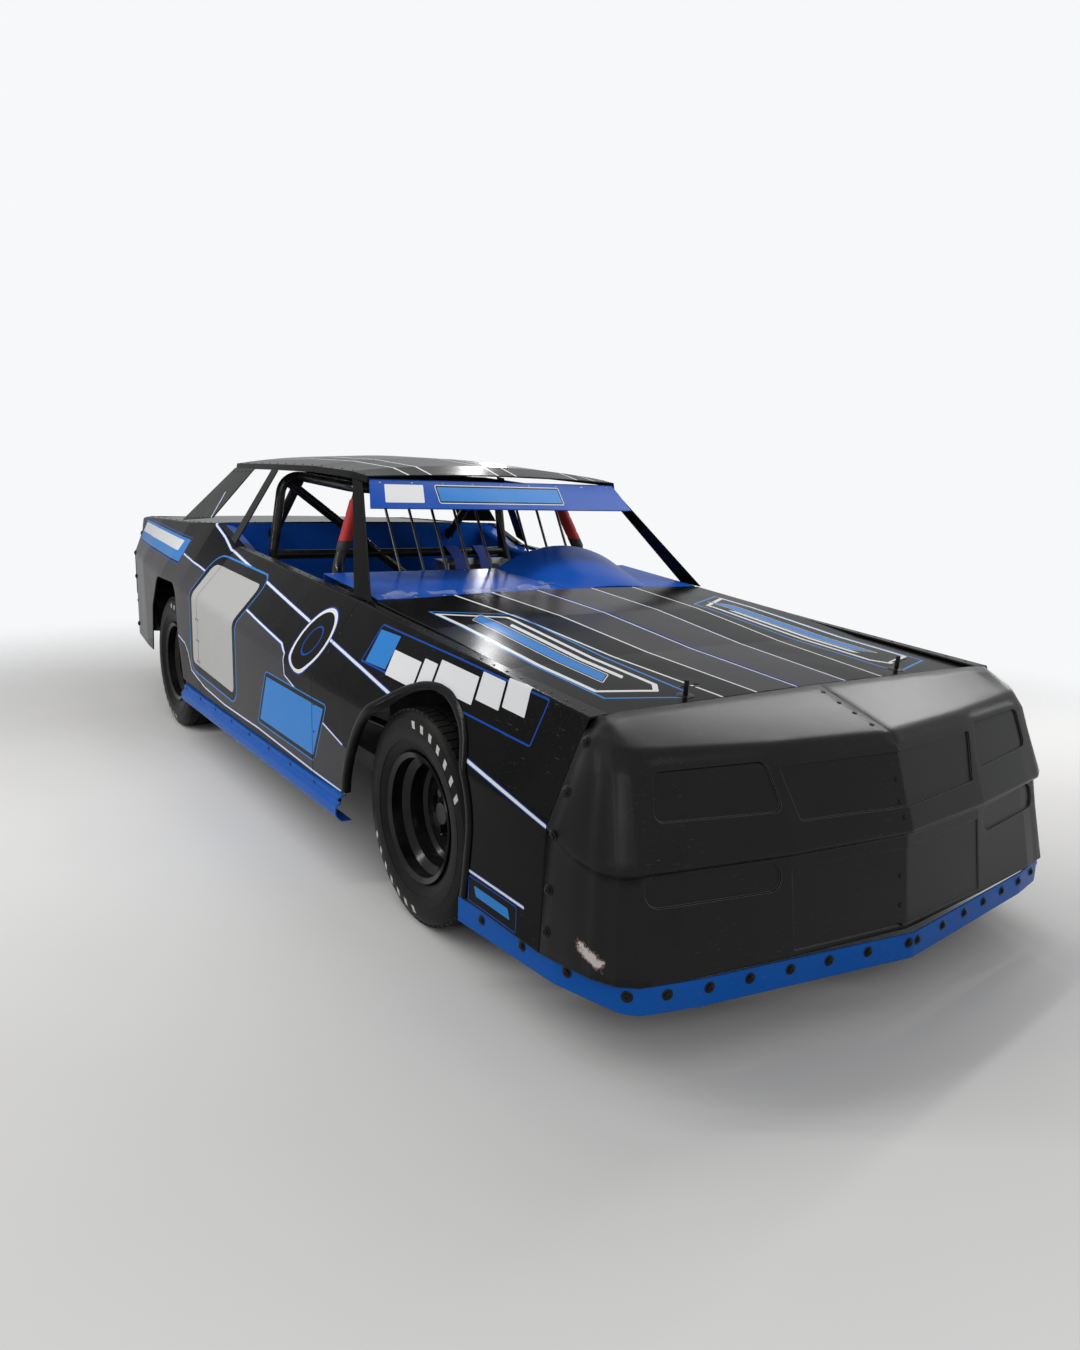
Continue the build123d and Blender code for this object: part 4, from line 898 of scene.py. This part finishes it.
dress(["fender_right", "fender_left", "door_right", "door_left", "quarter_right", "quarter_left",
       "sail_panels"], wrapped("side_wrap", side_print, 0.16))
dress(["front_posts", "centre_posts", "rear_deck", "deck_lid"],
      wrapped("black_wrap", one_colour(WRAP_BLACK), 0.16))

# The hood and the roof: one sheet each, folded at the edges and covered with printed vinyl, with
# two grey bands between white pinstripes, and a double outline on each side of the hood

HOOD_FOOT = 0.60
HOOD_TIP = -0.68
HOOD_NARROWING = 0.795
# Bands from the right edge, as (x at the rear edge, colour that starts there)
HOOD_BANDS = ((-0.458, WRAP_WHITE), (-0.447, WRAP_BLACK), (-0.293, WRAP_WHITE), (-0.284, WRAP_GREY),
              (-0.092, EDGE_BLUE), (-0.086, WRAP_WHITE), (-0.079, WRAP_BLACK), (-0.062, EDGE_BLUE),
              (-0.056, WRAP_GREY), (0.176, WRAP_WHITE), (0.184, EDGE_BLUE), (0.188, WRAP_BLACK),
              (0.390, WRAP_WHITE), (0.399, WRAP_BLACK))
HOOD_OUTLINE = ((0.415, 0.668), (0.270, 0.419), (-0.625, 0.424), (-0.664, 0.474), (-0.590, 0.676))
HOOD_INLINE = ((0.372, 0.662), (0.240, 0.463), (-0.540, 0.463), (-0.590, 0.500), (-0.530, 0.660))
HOOD_BOARDS = (
    (((-0.080, 0.560), (0.360, 0.030), 0.9, 0.0, 0.004),
     ((0.004, WRAP_WHITE), (0.0, WRAP_BLACK), (-0.005, LIGHT_BLUE))),
    (((-0.150, 0.505), (0.300, 0.010), 0.9, 0.0, 0.003), ((0.0, WRAP_WHITE),)),
)
ROOF_BANDS = ((-0.435, WRAP_WHITE), (-0.426, WRAP_BLACK), (-0.334, WRAP_WHITE), (-0.325, WRAP_GREY),
              (-0.014, WRAP_WHITE), (-0.005, WRAP_BLACK), (0.076, WRAP_WHITE), (0.085, WRAP_GREY),
              (0.396, WRAP_WHITE), (0.405, WRAP_BLACK), (0.496, WRAP_WHITE), (0.505, WRAP_BLACK))


def banded(tree, across, bands):
    """Bands of colour across the car, on black."""
    colour = (*WRAP_BLACK, 1)
    for edge, tint in bands:
        colour = over(tree, colour, tint, calc(tree, "GREATER_THAN", across, edge))
    return colour


def hood_print(tree, coords):
    """The colours of the hood, by station and place across it."""
    part = xyz(tree, coords)
    station = calc(tree, "SUBTRACT", part["Y"], FRONT_AXLE_Y)
    narrowed = mapped(tree, station, HOOD_TIP, HOOD_FOOT, HOOD_NARROWING, 1.0)
    colour = banded(tree, calc(tree, "DIVIDE", part["X"], narrowed), HOOD_BANDS)
    spot = spot_at(tree, station, calc(tree, "ABSOLUTE", part["X"]))
    for line, band in ((HOOD_OUTLINE, (0.0045, LIGHT_BLUE)), (HOOD_INLINE, (0.008, WRAP_WHITE))):
        colour = keyline(tree, colour, line_distance(tree, spot, line, closed=True), (band,))
    return outside_only(tree, coords, boards_on(tree, colour, spot, HOOD_BOARDS), sideways=False)


def roof_print(tree, coords):
    return outside_only(tree, coords, banded(tree, xyz(tree, coords)["X"], ROOF_BANDS), sideways=False)


dress(["hood"], wrapped("hood_wrap", hood_print, 0.17))
dress(["roof"], wrapped("roof_wrap", roof_print, 0.2))

# The visor over the windshield opening, a strip of blue sheet riveted under the edge of the
# roof, with a blank white patch and a plain lighter bar

VISOR_BOARDS = (
    (((-0.02, 1.292), (0.30, 0.030), -0.1, 0.0, 0.003),
     ((0.006, WRAP_WHITE), (0.003, WRAP_BLACK), (-0.003, LIGHT_BLUE))),
    (((-0.47, 1.292), (0.085, 0.034), -0.35, 0.0, 0.004), ((0.0, WRAP_WHITE),)),
)


def visor_print(tree, coords):
    part = xyz(tree, coords)
    return boards_on(tree, (*COCKPIT_BLUE, 1), spot_at(tree, part["X"], part["Z"]), VISOR_BOARDS)


dress(["visor"], wrapped("visor_wrap", visor_print, 0.2))

# The lower edge: skirts and nose strip cut from flexible blue plastic sheet, screwed on so that
# they can rub on the track and be changed

SKIRT_BLUE = (0.005, 0.098, 0.43)
dress(["rocker_skirts", "nose_strip"],
      wrapped("skirt_blue", one_colour(SKIRT_BLUE), 0.25, marks=0.4, dust=0.05))

# The nose in two halves and the tail cover, moulded in black plastic with a satin grain. Light
# scratches all over, and one torn scuff on the right lower corner

PLASTIC_BLACK = (0.0035, 0.0035, 0.0037)
PLASTIC_GREY = (0.0060, 0.0060, 0.0063)
SCRATCH_GREY = (0.11, 0.11, 0.11)
# the pale grey of the painted highlight along the panels' edges
EDGE_HIGHLIGHT = (0.20, 0.20, 0.205)
TORN_BROWN = (0.16, 0.10, 0.085)
TORN_PALE = (0.60, 0.55, 0.54)
SCUFF_SPOT = (-0.901, -2.182, 0.279)
SCUFF_TURN = radians(-24)
SCUFF_STRETCH = (0.5, 0.62, 1.9)
PANEL_EDGE = 0.004
SOFT_BEND = 0.045
# Where the big bends round the corners and over the top begin and end
CORNER_BEND = (0.800, 0.825)
TOP_BEND = (0.714, 0.732)

plastic, tree, shader = new_finish("moulded_plastic")
coords = put(tree, "TexCoord").outputs["Object"]
colour = between(tree, cloud(tree, coords, 9, 6), PLASTIC_BLACK, PLASTIC_GREY)
scratched = use_group(tree, rubbed, {"Vector": coords, "Scale": 0.35})["Mask"]
colour = over(tree, colour, SCRATCH_GREY, scratched)
# the panels' edges are crisp, and a pale highlight is painted along them, faint on every edge and strong
# on those that face up
crisp = put(tree, "Bevel", {"Radius": PANEL_EDGE}, samples=6).outputs[0]
flat = put(tree, "NewGeometry").outputs["True Normal"]
edge = mapped(tree, vector(tree, "DOT_PRODUCT", crisp, flat), 0.985, 0.80)
up_highlight = mapped(tree, xyz(tree, vector(tree, "SUBTRACT", crisp, flat))["Z"], -0.05, 0.25, 0.12, 0.9)
colour = over(tree, colour, EDGE_HIGHLIGHT, calc(tree, "MULTIPLY", edge, up_highlight))
# the tear runs down and forward along the corner
away = vector(tree, "SUBTRACT", coords, SCUFF_SPOT)
spun = put(tree, "Mapping", {"Vector": away, "Rotation": (SCUFF_TURN, 0, 0)}).outputs[0]
reach = vector(tree, "LENGTH", vector(tree, "MULTIPLY", spun, SCUFF_STRETCH))
torn = calc(tree, "MULTIPLY_ADD", cloud(tree, coords, 60, 6, 0.8), -0.09, reach)
colour = keyline(tree, colour, torn, ((-0.014, TORN_BROWN), (-0.022, TORN_PALE)))
lay_on(tree, shader, colour, 0.30, dust=0.02)
# the big bends over the top and round the corners are soft
part = xyz(tree, coords)
corner = mapped(tree, calc(tree, "ABSOLUTE", part["X"]), *CORNER_BEND)
bend = calc(tree, "MAXIMUM", corner, mapped(tree, part["Z"], *TOP_BEND))
soft = put(tree, "Bevel", {"Radius": SOFT_BEND}, samples=8).outputs[0]
eased = put(tree, "Mix", {"Factor": bend, "A": crisp, "B": soft}, data_type="VECTOR")
raise_grain(tree, shader, cloud(tree, coords, 650), 0.0001, 0.4, edges=eased.outputs["Result"])
shader.inputs["Specular IOR Level"].default_value = 0.27
dress(["nose_right", "nose_left", "tail_cover"], plastic)

# Rolled lips round the front wheel openings: black edging strip, 22 mm wide on the outside of
# the sheet, bent round its edge and 20 mm back inside

SIDES = (("right", -1), ("left", 1))
# Across the lip: (out over the sheet from its edge, above the sheet)
LIP_SECTION = ((0.022, -0.0005), (0.0225, 0.003), (0.019, 0.0062), (0.011, 0.0085), (0.002, 0.0085),
               (-0.005, 0.0055), (-0.0085, -0.001), (-0.0085, -0.018), (-0.0055, -0.020),
               (-0.0045, -0.016), (-0.0040, -0.002), (0.004, -0.0005))
LIP_MIDDLE = 0.030
LIP_TOP = 0.345
# Round the opening: (station, height, how far along and how far up to look for the sheet)
LIP_TRACK = ([(LIP_MIDDLE, height, 1, 0) for height in (0.305, LIP_TOP)]
             + [(LIP_MIDDLE, LIP_TOP, cos(pi * step / 60), sin(pi * step / 60)) for step in range(1, 60)]
             + [(LIP_MIDDLE, height, -1, 0) for height in (LIP_TOP, 0.305, 0.265, 0.230)])
LIP_SEARCH = [0.28 + 0.0015 * step for step in range(160)]
BESIDE_THE_CAR = 1.05


def skin(*names):
    """The surface of some CAD nodes, to set trim on."""
    spots, faces = [], []
    for name in names:
        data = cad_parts[name].data
        start = len(spots)
        spots += [vert.co.copy() for vert in data.vertices]
        faces += [[start + corner for corner in face.vertices] for face in data.polygons]
    return BVHTree.FromPolygons(spots, faces)


def edge_of(surface, sign, station, height, along, rise):
    """Where the skin begins, going out from inside a wheel opening: the place and its normal."""
    for reach in LIP_SEARCH:
        start = at(sign * BESIDE_THE_CAR, station + reach * along, height + reach * rise)
        hit, normal, _, _ = surface.ray_cast(start, Vector((-sign, 0, 0)))
        if hit:
            return hit, (normal if normal.x * sign > 0 else -normal)
    return None, None


lip_black = painted("lip_black", (0.0035, 0.0035, 0.0037), 0.22, dust=0.01, shine=0.12)
for side, sign in SIDES:
    surface = skin("fender_" + side)
    rings = []
    for station, height, along, rise in LIP_TRACK:
        edge, normal = edge_of(surface, sign, station, height, along, rise)
        if edge is None:
            continue
        outward = Vector((0, along, rise))
        away = (outward - normal * outward.dot(normal)).normalized()
        rings.append([edge + away * out + normal * lift for out, lift in LIP_SECTION])
    lip = bmesh.new()
    sweep_ring(lip, rings)
    piece("arch_lip_" + side, lip, lip_black, "chassis")

# What holds the skin's sheets together: black pop rivets along the flanges and seams of the
# flanks, the roof's edges and the sail panels, and screws along the skirts

# Profiles to turn, as (radius, height)
RIVET = ((0.0048, -0.0005), (0.0046, 0.0007), (0.0034, 0.0016), (0.0014, 0.0018), (0.0012, 0.0010))
SMALL_SCREW = ((0.0070, -0.0005), (0.0070, 0.0010), (0.0058, 0.0026), (0.0025, 0.0032))
SEAT_REACH = 0.05
ABOVE = (0, 0, 1)
# Straight rows on each side, as (first place, last place, how many), with the places as (out,
# station, height)
FLANK_TOP_ROWS = (((0.803, -0.67, 0.845), (0.786, 0.66, 0.935), 19),
                  ((0.784, 0.74, 0.935), (0.778, 1.36, 0.972), 6),
                  ((0.778, 1.44, 0.972), (0.778, 2.06, 1.010), 6),
                  ((0.790, 2.45, 1.105), (0.820, 2.76, 1.086), 5),
                  ((0.824, 2.82, 1.086), (0.836, 3.56, 1.065), 7))
# Up each seam of the door, below and above the fold of the sheet
SEAM_ROWS = [row for station in (0.683, 2.083, 2.117)
             for row in (((1.02, station, 0.36), (1.02, station, 0.66), 4),
                         ((0.945, station, 0.76), (0.855, station, 0.88), 3))]
SKIRT_ROWS = (((0.998, 0.43, 0.279), (0.998, 2.35, 0.279), 9),)
ROOF_ROWS = (((0.598, 1.12, 1.40), (0.598, 2.66, 1.40), 15),)
SAIL_ROWS = (((0.818, 2.44, 1.112), (0.834, 2.84, 1.092), 7),
             ((0.634, 2.40, 1.342), (0.638, 2.67, 1.338), 5))


def seat_on(surface, spot, outward):
    """The place on a surface nearest to a spot, and its normal turned outward."""
    place, normal, _, _ = surface.find_nearest(spot)
    return place, (normal if normal.dot(Vector(outward)) > 0 else -normal)


def turned(mesh, place, normal, profile, sides):
    """Turns a profile of (radius, height) round a normal that stands on a place."""
    side = normal.orthogonal().normalized()
    sweep_ring(mesh, [circle(place + height * normal, radius, side, normal.cross(side), sides)
                      for radius, height in profile])


def set_on(mesh, surface, spots, outward, profile, sides=8):
    """Sets rivets or screws on a surface, where it is near enough."""
    for spot in spots:
        place, normal = seat_on(surface, spot, outward)
        if (place - spot).length < SEAT_REACH:
            turned(mesh, place, normal, profile, sides)


def straight(first, last, count, sign=1):
    """Places of a straight row, on the side of a sign."""
    ends = [at(sign * x, station, z) for x, station, z in (first, last)]
    return [ends[0].lerp(ends[1], step / (count - 1)) for step in range(count)]


black_rivet = painted("black_rivet", (0.006, 0.006, 0.006), 0.3, dust=0.04)
rivets = bmesh.new()
for side, sign in SIDES:
    flank = skin("fender_" + side, "door_" + side, "quarter_" + side)
    beside = (sign, 0, 0)
    for surface, rows, outward, profile in (
            (flank, FLANK_TOP_ROWS, ABOVE, RIVET), (flank, SEAM_ROWS, beside, RIVET),
            (skin("rocker_skirts"), SKIRT_ROWS, beside, SMALL_SCREW),
            (skin("roof"), ROOF_ROWS, ABOVE, RIVET), (skin("sail_panels"), SAIL_ROWS, beside, RIVET)):
        for row in rows:
            set_on(rivets, surface, straight(*row, sign), outward, profile)
piece("skin_rivets", rivets, black_rivet, "chassis")

# Bare aluminium pop rivets across the decks before and behind the cockpit, and along the visor's
# upper edge

DECK_ROWS = (((-0.72, 0.655, 0.94), (0.0, 0.655, 0.94), 7),
             ((-0.72, 1.135, 0.98), (0.0, 1.135, 0.98), 7),
             ((-0.72, 2.447, 1.10), (0.72, 2.447, 1.10), 13))
VISOR_ROW = ((-0.56, 1.048, 1.338), (0.56, 1.048, 1.338), 9)
bare_alloy = painted("rivet_alloy", (0.30, 0.30, 0.30), 0.35, dust=0.2, metallic=1.0)
deck_rivets = bmesh.new()
deck = skin("cowl_deck", "rear_deck")
for row in DECK_ROWS:
    set_on(deck_rivets, deck, straight(*row), ABOVE, RIVET)
set_on(deck_rivets, skin("visor"), straight(*VISOR_ROW), (0, -1, 0.3), RIVET)
piece("deck_rivets", deck_rivets, bare_alloy, "chassis")

# Black screws with rubber washers through the nose strip, through the joints of the nose and the
# tail cover with the flanks, and small ones down the seam of the nose's two halves

SCREW = ((0.0150, -0.0005), (0.0150, 0.0012), (0.0135, 0.0022), (0.0085, 0.0024), (0.0085, 0.0058),
         (0.0070, 0.0068), (0.0030, 0.0068), (0.0028, 0.0050))
# Strip screws as (x, station), the others as (station, height)
STRIP_SCREWS = ((0.949, -0.436), (0.936, -0.618), (0.917, -0.790), (0.868, -0.965), (0.771, -1.007),
                (0.658, -1.033), (0.539, -1.050), (0.415, -1.068), (0.292, -1.087), (0.162, -1.106),
                (0.020, -1.128))
# The strip begins to turn round the corner at the first x, and runs along the side from the second
STRIP_CORNER = (0.75, 0.9)
STRIP_HEIGHT = 0.196
SEAM_X = -0.024
# The flank at a joint, as (x below its fold, height of the fold, how fast it leans in above)
NOSE_FLANK = (0.965, 0.55, 0.45)
TAIL_FLANK = (0.955, 0.85, 0.4)
JOINT_SCREWS = ((-0.752, 0.771), (-0.752, 0.652), (-0.752, 0.531), (-0.752, 0.399), (-0.752, 0.290))
SEAM_SCREWS = ((-0.769, 0.824), (-0.827, 0.803), (-0.882, 0.783), (-0.941, 0.761), (-1.037, 0.630),
               (-1.058, 0.574), (-1.075, 0.535), (-1.095, 0.373), (-1.100, 0.292), (-1.106, 0.240))
TAIL_SCREWS = ((3.625, 0.42), (3.625, 0.56), (3.625, 0.70), (3.625, 0.84), (3.625, 0.96))
screws = bmesh.new()
strip = skin("nose_strip")
nose = skin("nose_right", "nose_left")
for side, sign in SIDES:
    beside = (sign, 0, 0)
    for x, station in STRIP_SCREWS:
        outward = (sign * max(x - STRIP_CORNER[0], 0) * 4, -1 if x < STRIP_CORNER[1] else 0, 0)
        set_on(screws, strip, [at(sign * x, station - 0.01, STRIP_HEIGHT)], outward, SCREW, 12)
    for surface, spots, (x, fold, lean) in ((nose, JOINT_SCREWS, NOSE_FLANK),
                                            (skin("tail_cover"), TAIL_SCREWS, TAIL_FLANK)):
        set_on(screws, surface, [at(sign * (x - max(height - fold, 0) * lean), station, height)
                                 for station, height in spots], beside, SCREW, 12)
set_on(screws, nose, [at(SEAM_X, station, height) for station, height in SEAM_SCREWS], (0, -1, 0.5),
       SMALL_SCREW, 10)
piece("nose_screws", screws, black_rivet, "chassis")

# Two pins that stand up through the hood's front corners in round plates, each with a wire clip
# pushed through it

PIN_SPOTS = ((-0.450, -0.655, 0.83), (0.450, -0.655, 0.83))
PIN_PLATE = ((0.026, -0.0005), (0.026, 0.0012), (0.0245, 0.0018), (0.0085, 0.0018), (0.0070, 0.0018),
             (0.0070, 0.0400), (0.0055, 0.0440), (0.0020, 0.0450))
# The clip: radius of its wire, height on the pin, half length and half width of the loop, how far
# the loop sits to one side of the pin, and how far it is bent up and down
CLIP_WIRE = 0.0016
CLIP_HEIGHT = 0.026
CLIP_LOOP = (0.034, 0.010)
CLIP_ASIDE = 0.012
CLIP_BEND = 0.0015
CLIP_STEPS = 26
hood_pins = bmesh.new()
bonnet = skin("hood")
for spot in PIN_SPOTS:
    place, normal = seat_on(bonnet, at(*spot), ABOVE)
    turned(hood_pins, place, normal, PIN_PLATE, 16)
    clip = [place + normal * CLIP_HEIGHT + Vector((CLIP_LOOP[0] * cos(turn) + CLIP_ASIDE,
                                                   CLIP_LOOP[1] * sin(turn), CLIP_BEND * sin(2 * turn)))
            for turn in [2 * pi * step / CLIP_STEPS for step in range(CLIP_STEPS - 1)]]
    sweep_ring(hood_pins, tube_rings(clip, [CLIP_WIRE] * len(clip), 6))
piece("hood_pins", hood_pins, black_rivet, "hood")

# Roll bar pads on the front legs of the cage: split foam sleeves, red above and black below,
# tied on

# The leg's two ends, as (x, station, z)
PAD_LEG = ((0.497, 1.385, 1.300), (0.655, 1.285, 0.930))
PAD_START = 0.14
PAD_LENGTH = 0.58
PAD_STEPS = 24
PAD_RADIUS = 0.0275
TIE_DEPTH = 0.0020
TIE_EVERY = 8
PAD_END = 0.003
PAD_SPLIT = 1.085
PAD_BLACK = (0.012, 0.012, 0.012, 1)
PAD_RED = (0.42, 0.012, 0.012)
pad_foam, tree, shader = new_finish("pad_foam")
coords = put(tree, "TexCoord").outputs["Object"]
upper = calc(tree, "GREATER_THAN", xyz(tree, coords)["Z"], PAD_SPLIT)
cells = cloud(tree, coords, 90, 4)
lay_on(tree, shader, scaled(tree, over(tree, PAD_BLACK, PAD_RED, upper),
                            mapped(tree, cells, 0, 1, 0.8, 1.15)),
       mapped(tree, cells, 0, 1, 0.55, 0.75))
raise_grain(tree, shader, cells, 0.0006, 0.6)
radii = [PAD_RADIUS - TIE_DEPTH * (step % TIE_EVERY == 0) - PAD_END * (step in (0, PAD_STEPS))
         for step in range(PAD_STEPS + 1)]
for side, sign in SIDES:
    top_end, low_end = [at(sign * x, station, z) for x, station, z in PAD_LEG]
    line = [top_end.lerp(low_end, PAD_START + PAD_LENGTH * step / PAD_STEPS)
            for step in range(PAD_STEPS + 1)]
    sleeve = bmesh.new()
    sweep_ring(sleeve, tube_rings(line, radii, 20))
    piece("cage_pad_" + side, sleeve, pad_foam, "chassis")

# Scraps of clear masking film that are still stuck along the joint of hood and cowl, crumpled
# and peeling where the sheets were unwrapped

# (x, station, length, width, turn in degrees, height of the folds)
SCRAPS = ((-0.655, 0.672, 0.150, 0.060, 12, 0.022), (-0.470, 0.690, 0.110, 0.045, -14, 0.012),
          (-0.270, 0.678, 0.210, 0.060, 6, 0.024), (-0.060, 0.684, 0.150, 0.060, -6, 0.026),
          (0.060, 0.790, 0.090, 0.050, 30, 0.014))
SCRAP_ROWS = 11
SCRAP_COLUMNS = 25
# Big and small folds, as (how fine along x, how fine along y, share of the height)
FOLDS = ((11, 26, 1.3), (34, 30, 0.25))
FILM_LIFT = 0.0012
FILM_DULL = (0.55, 0.57, 0.60)
FILM_PALE = (0.75, 0.76, 0.78)
film, tree, shader = new_finish("clear_film")
milky = cloud(tree, put(tree, "TexCoord").outputs["Object"], 18, 3)
tree.links.new(mapped(tree, milky, 0.3, 0.75, 0.10, 0.30), shader.inputs["Alpha"])
tree.links.new(between(tree, milky, FILM_DULL, FILM_PALE), shader.inputs["Base Color"])
shader.inputs["Roughness"].default_value = 0.12
scraps = bmesh.new()
cowl = skin("cowl_deck")
for number, (x, station, length, width, turn, height) in enumerate(SCRAPS):
    lengthwise = Vector((cos(radians(turn)), sin(radians(turn)), 0))
    crosswise = Vector((-lengthwise.y, lengthwise.x, 0))
    rows = []
    for row in range(SCRAP_ROWS):
        line = []
        for column in range(SCRAP_COLUMNS):
            share = column / (SCRAP_COLUMNS - 1)
            across = (row / (SCRAP_ROWS - 1) - 0.5) * width * (1 + 0.35 * sin(5 * share + number))
            spot = at(x, station, 0.94) + lengthwise * (share - 0.5) * length + crosswise * across
            place, _ = seat_on(cowl, spot, ABOVE)
            folds = sum(weight * abs(noise.noise(Vector((spot.x * fine_x, spot.y * fine_y,
                                                         number + 5 * layer))))
                        for layer, (fine_x, fine_y, weight) in enumerate(FOLDS))
            line.append(scraps.verts.new((spot.x, spot.y, place.z + FILM_LIFT + height * folds)))
        rows.append(line)
    join_rows(scraps, rows)
piece("film_scraps", scraps, film, "chassis")
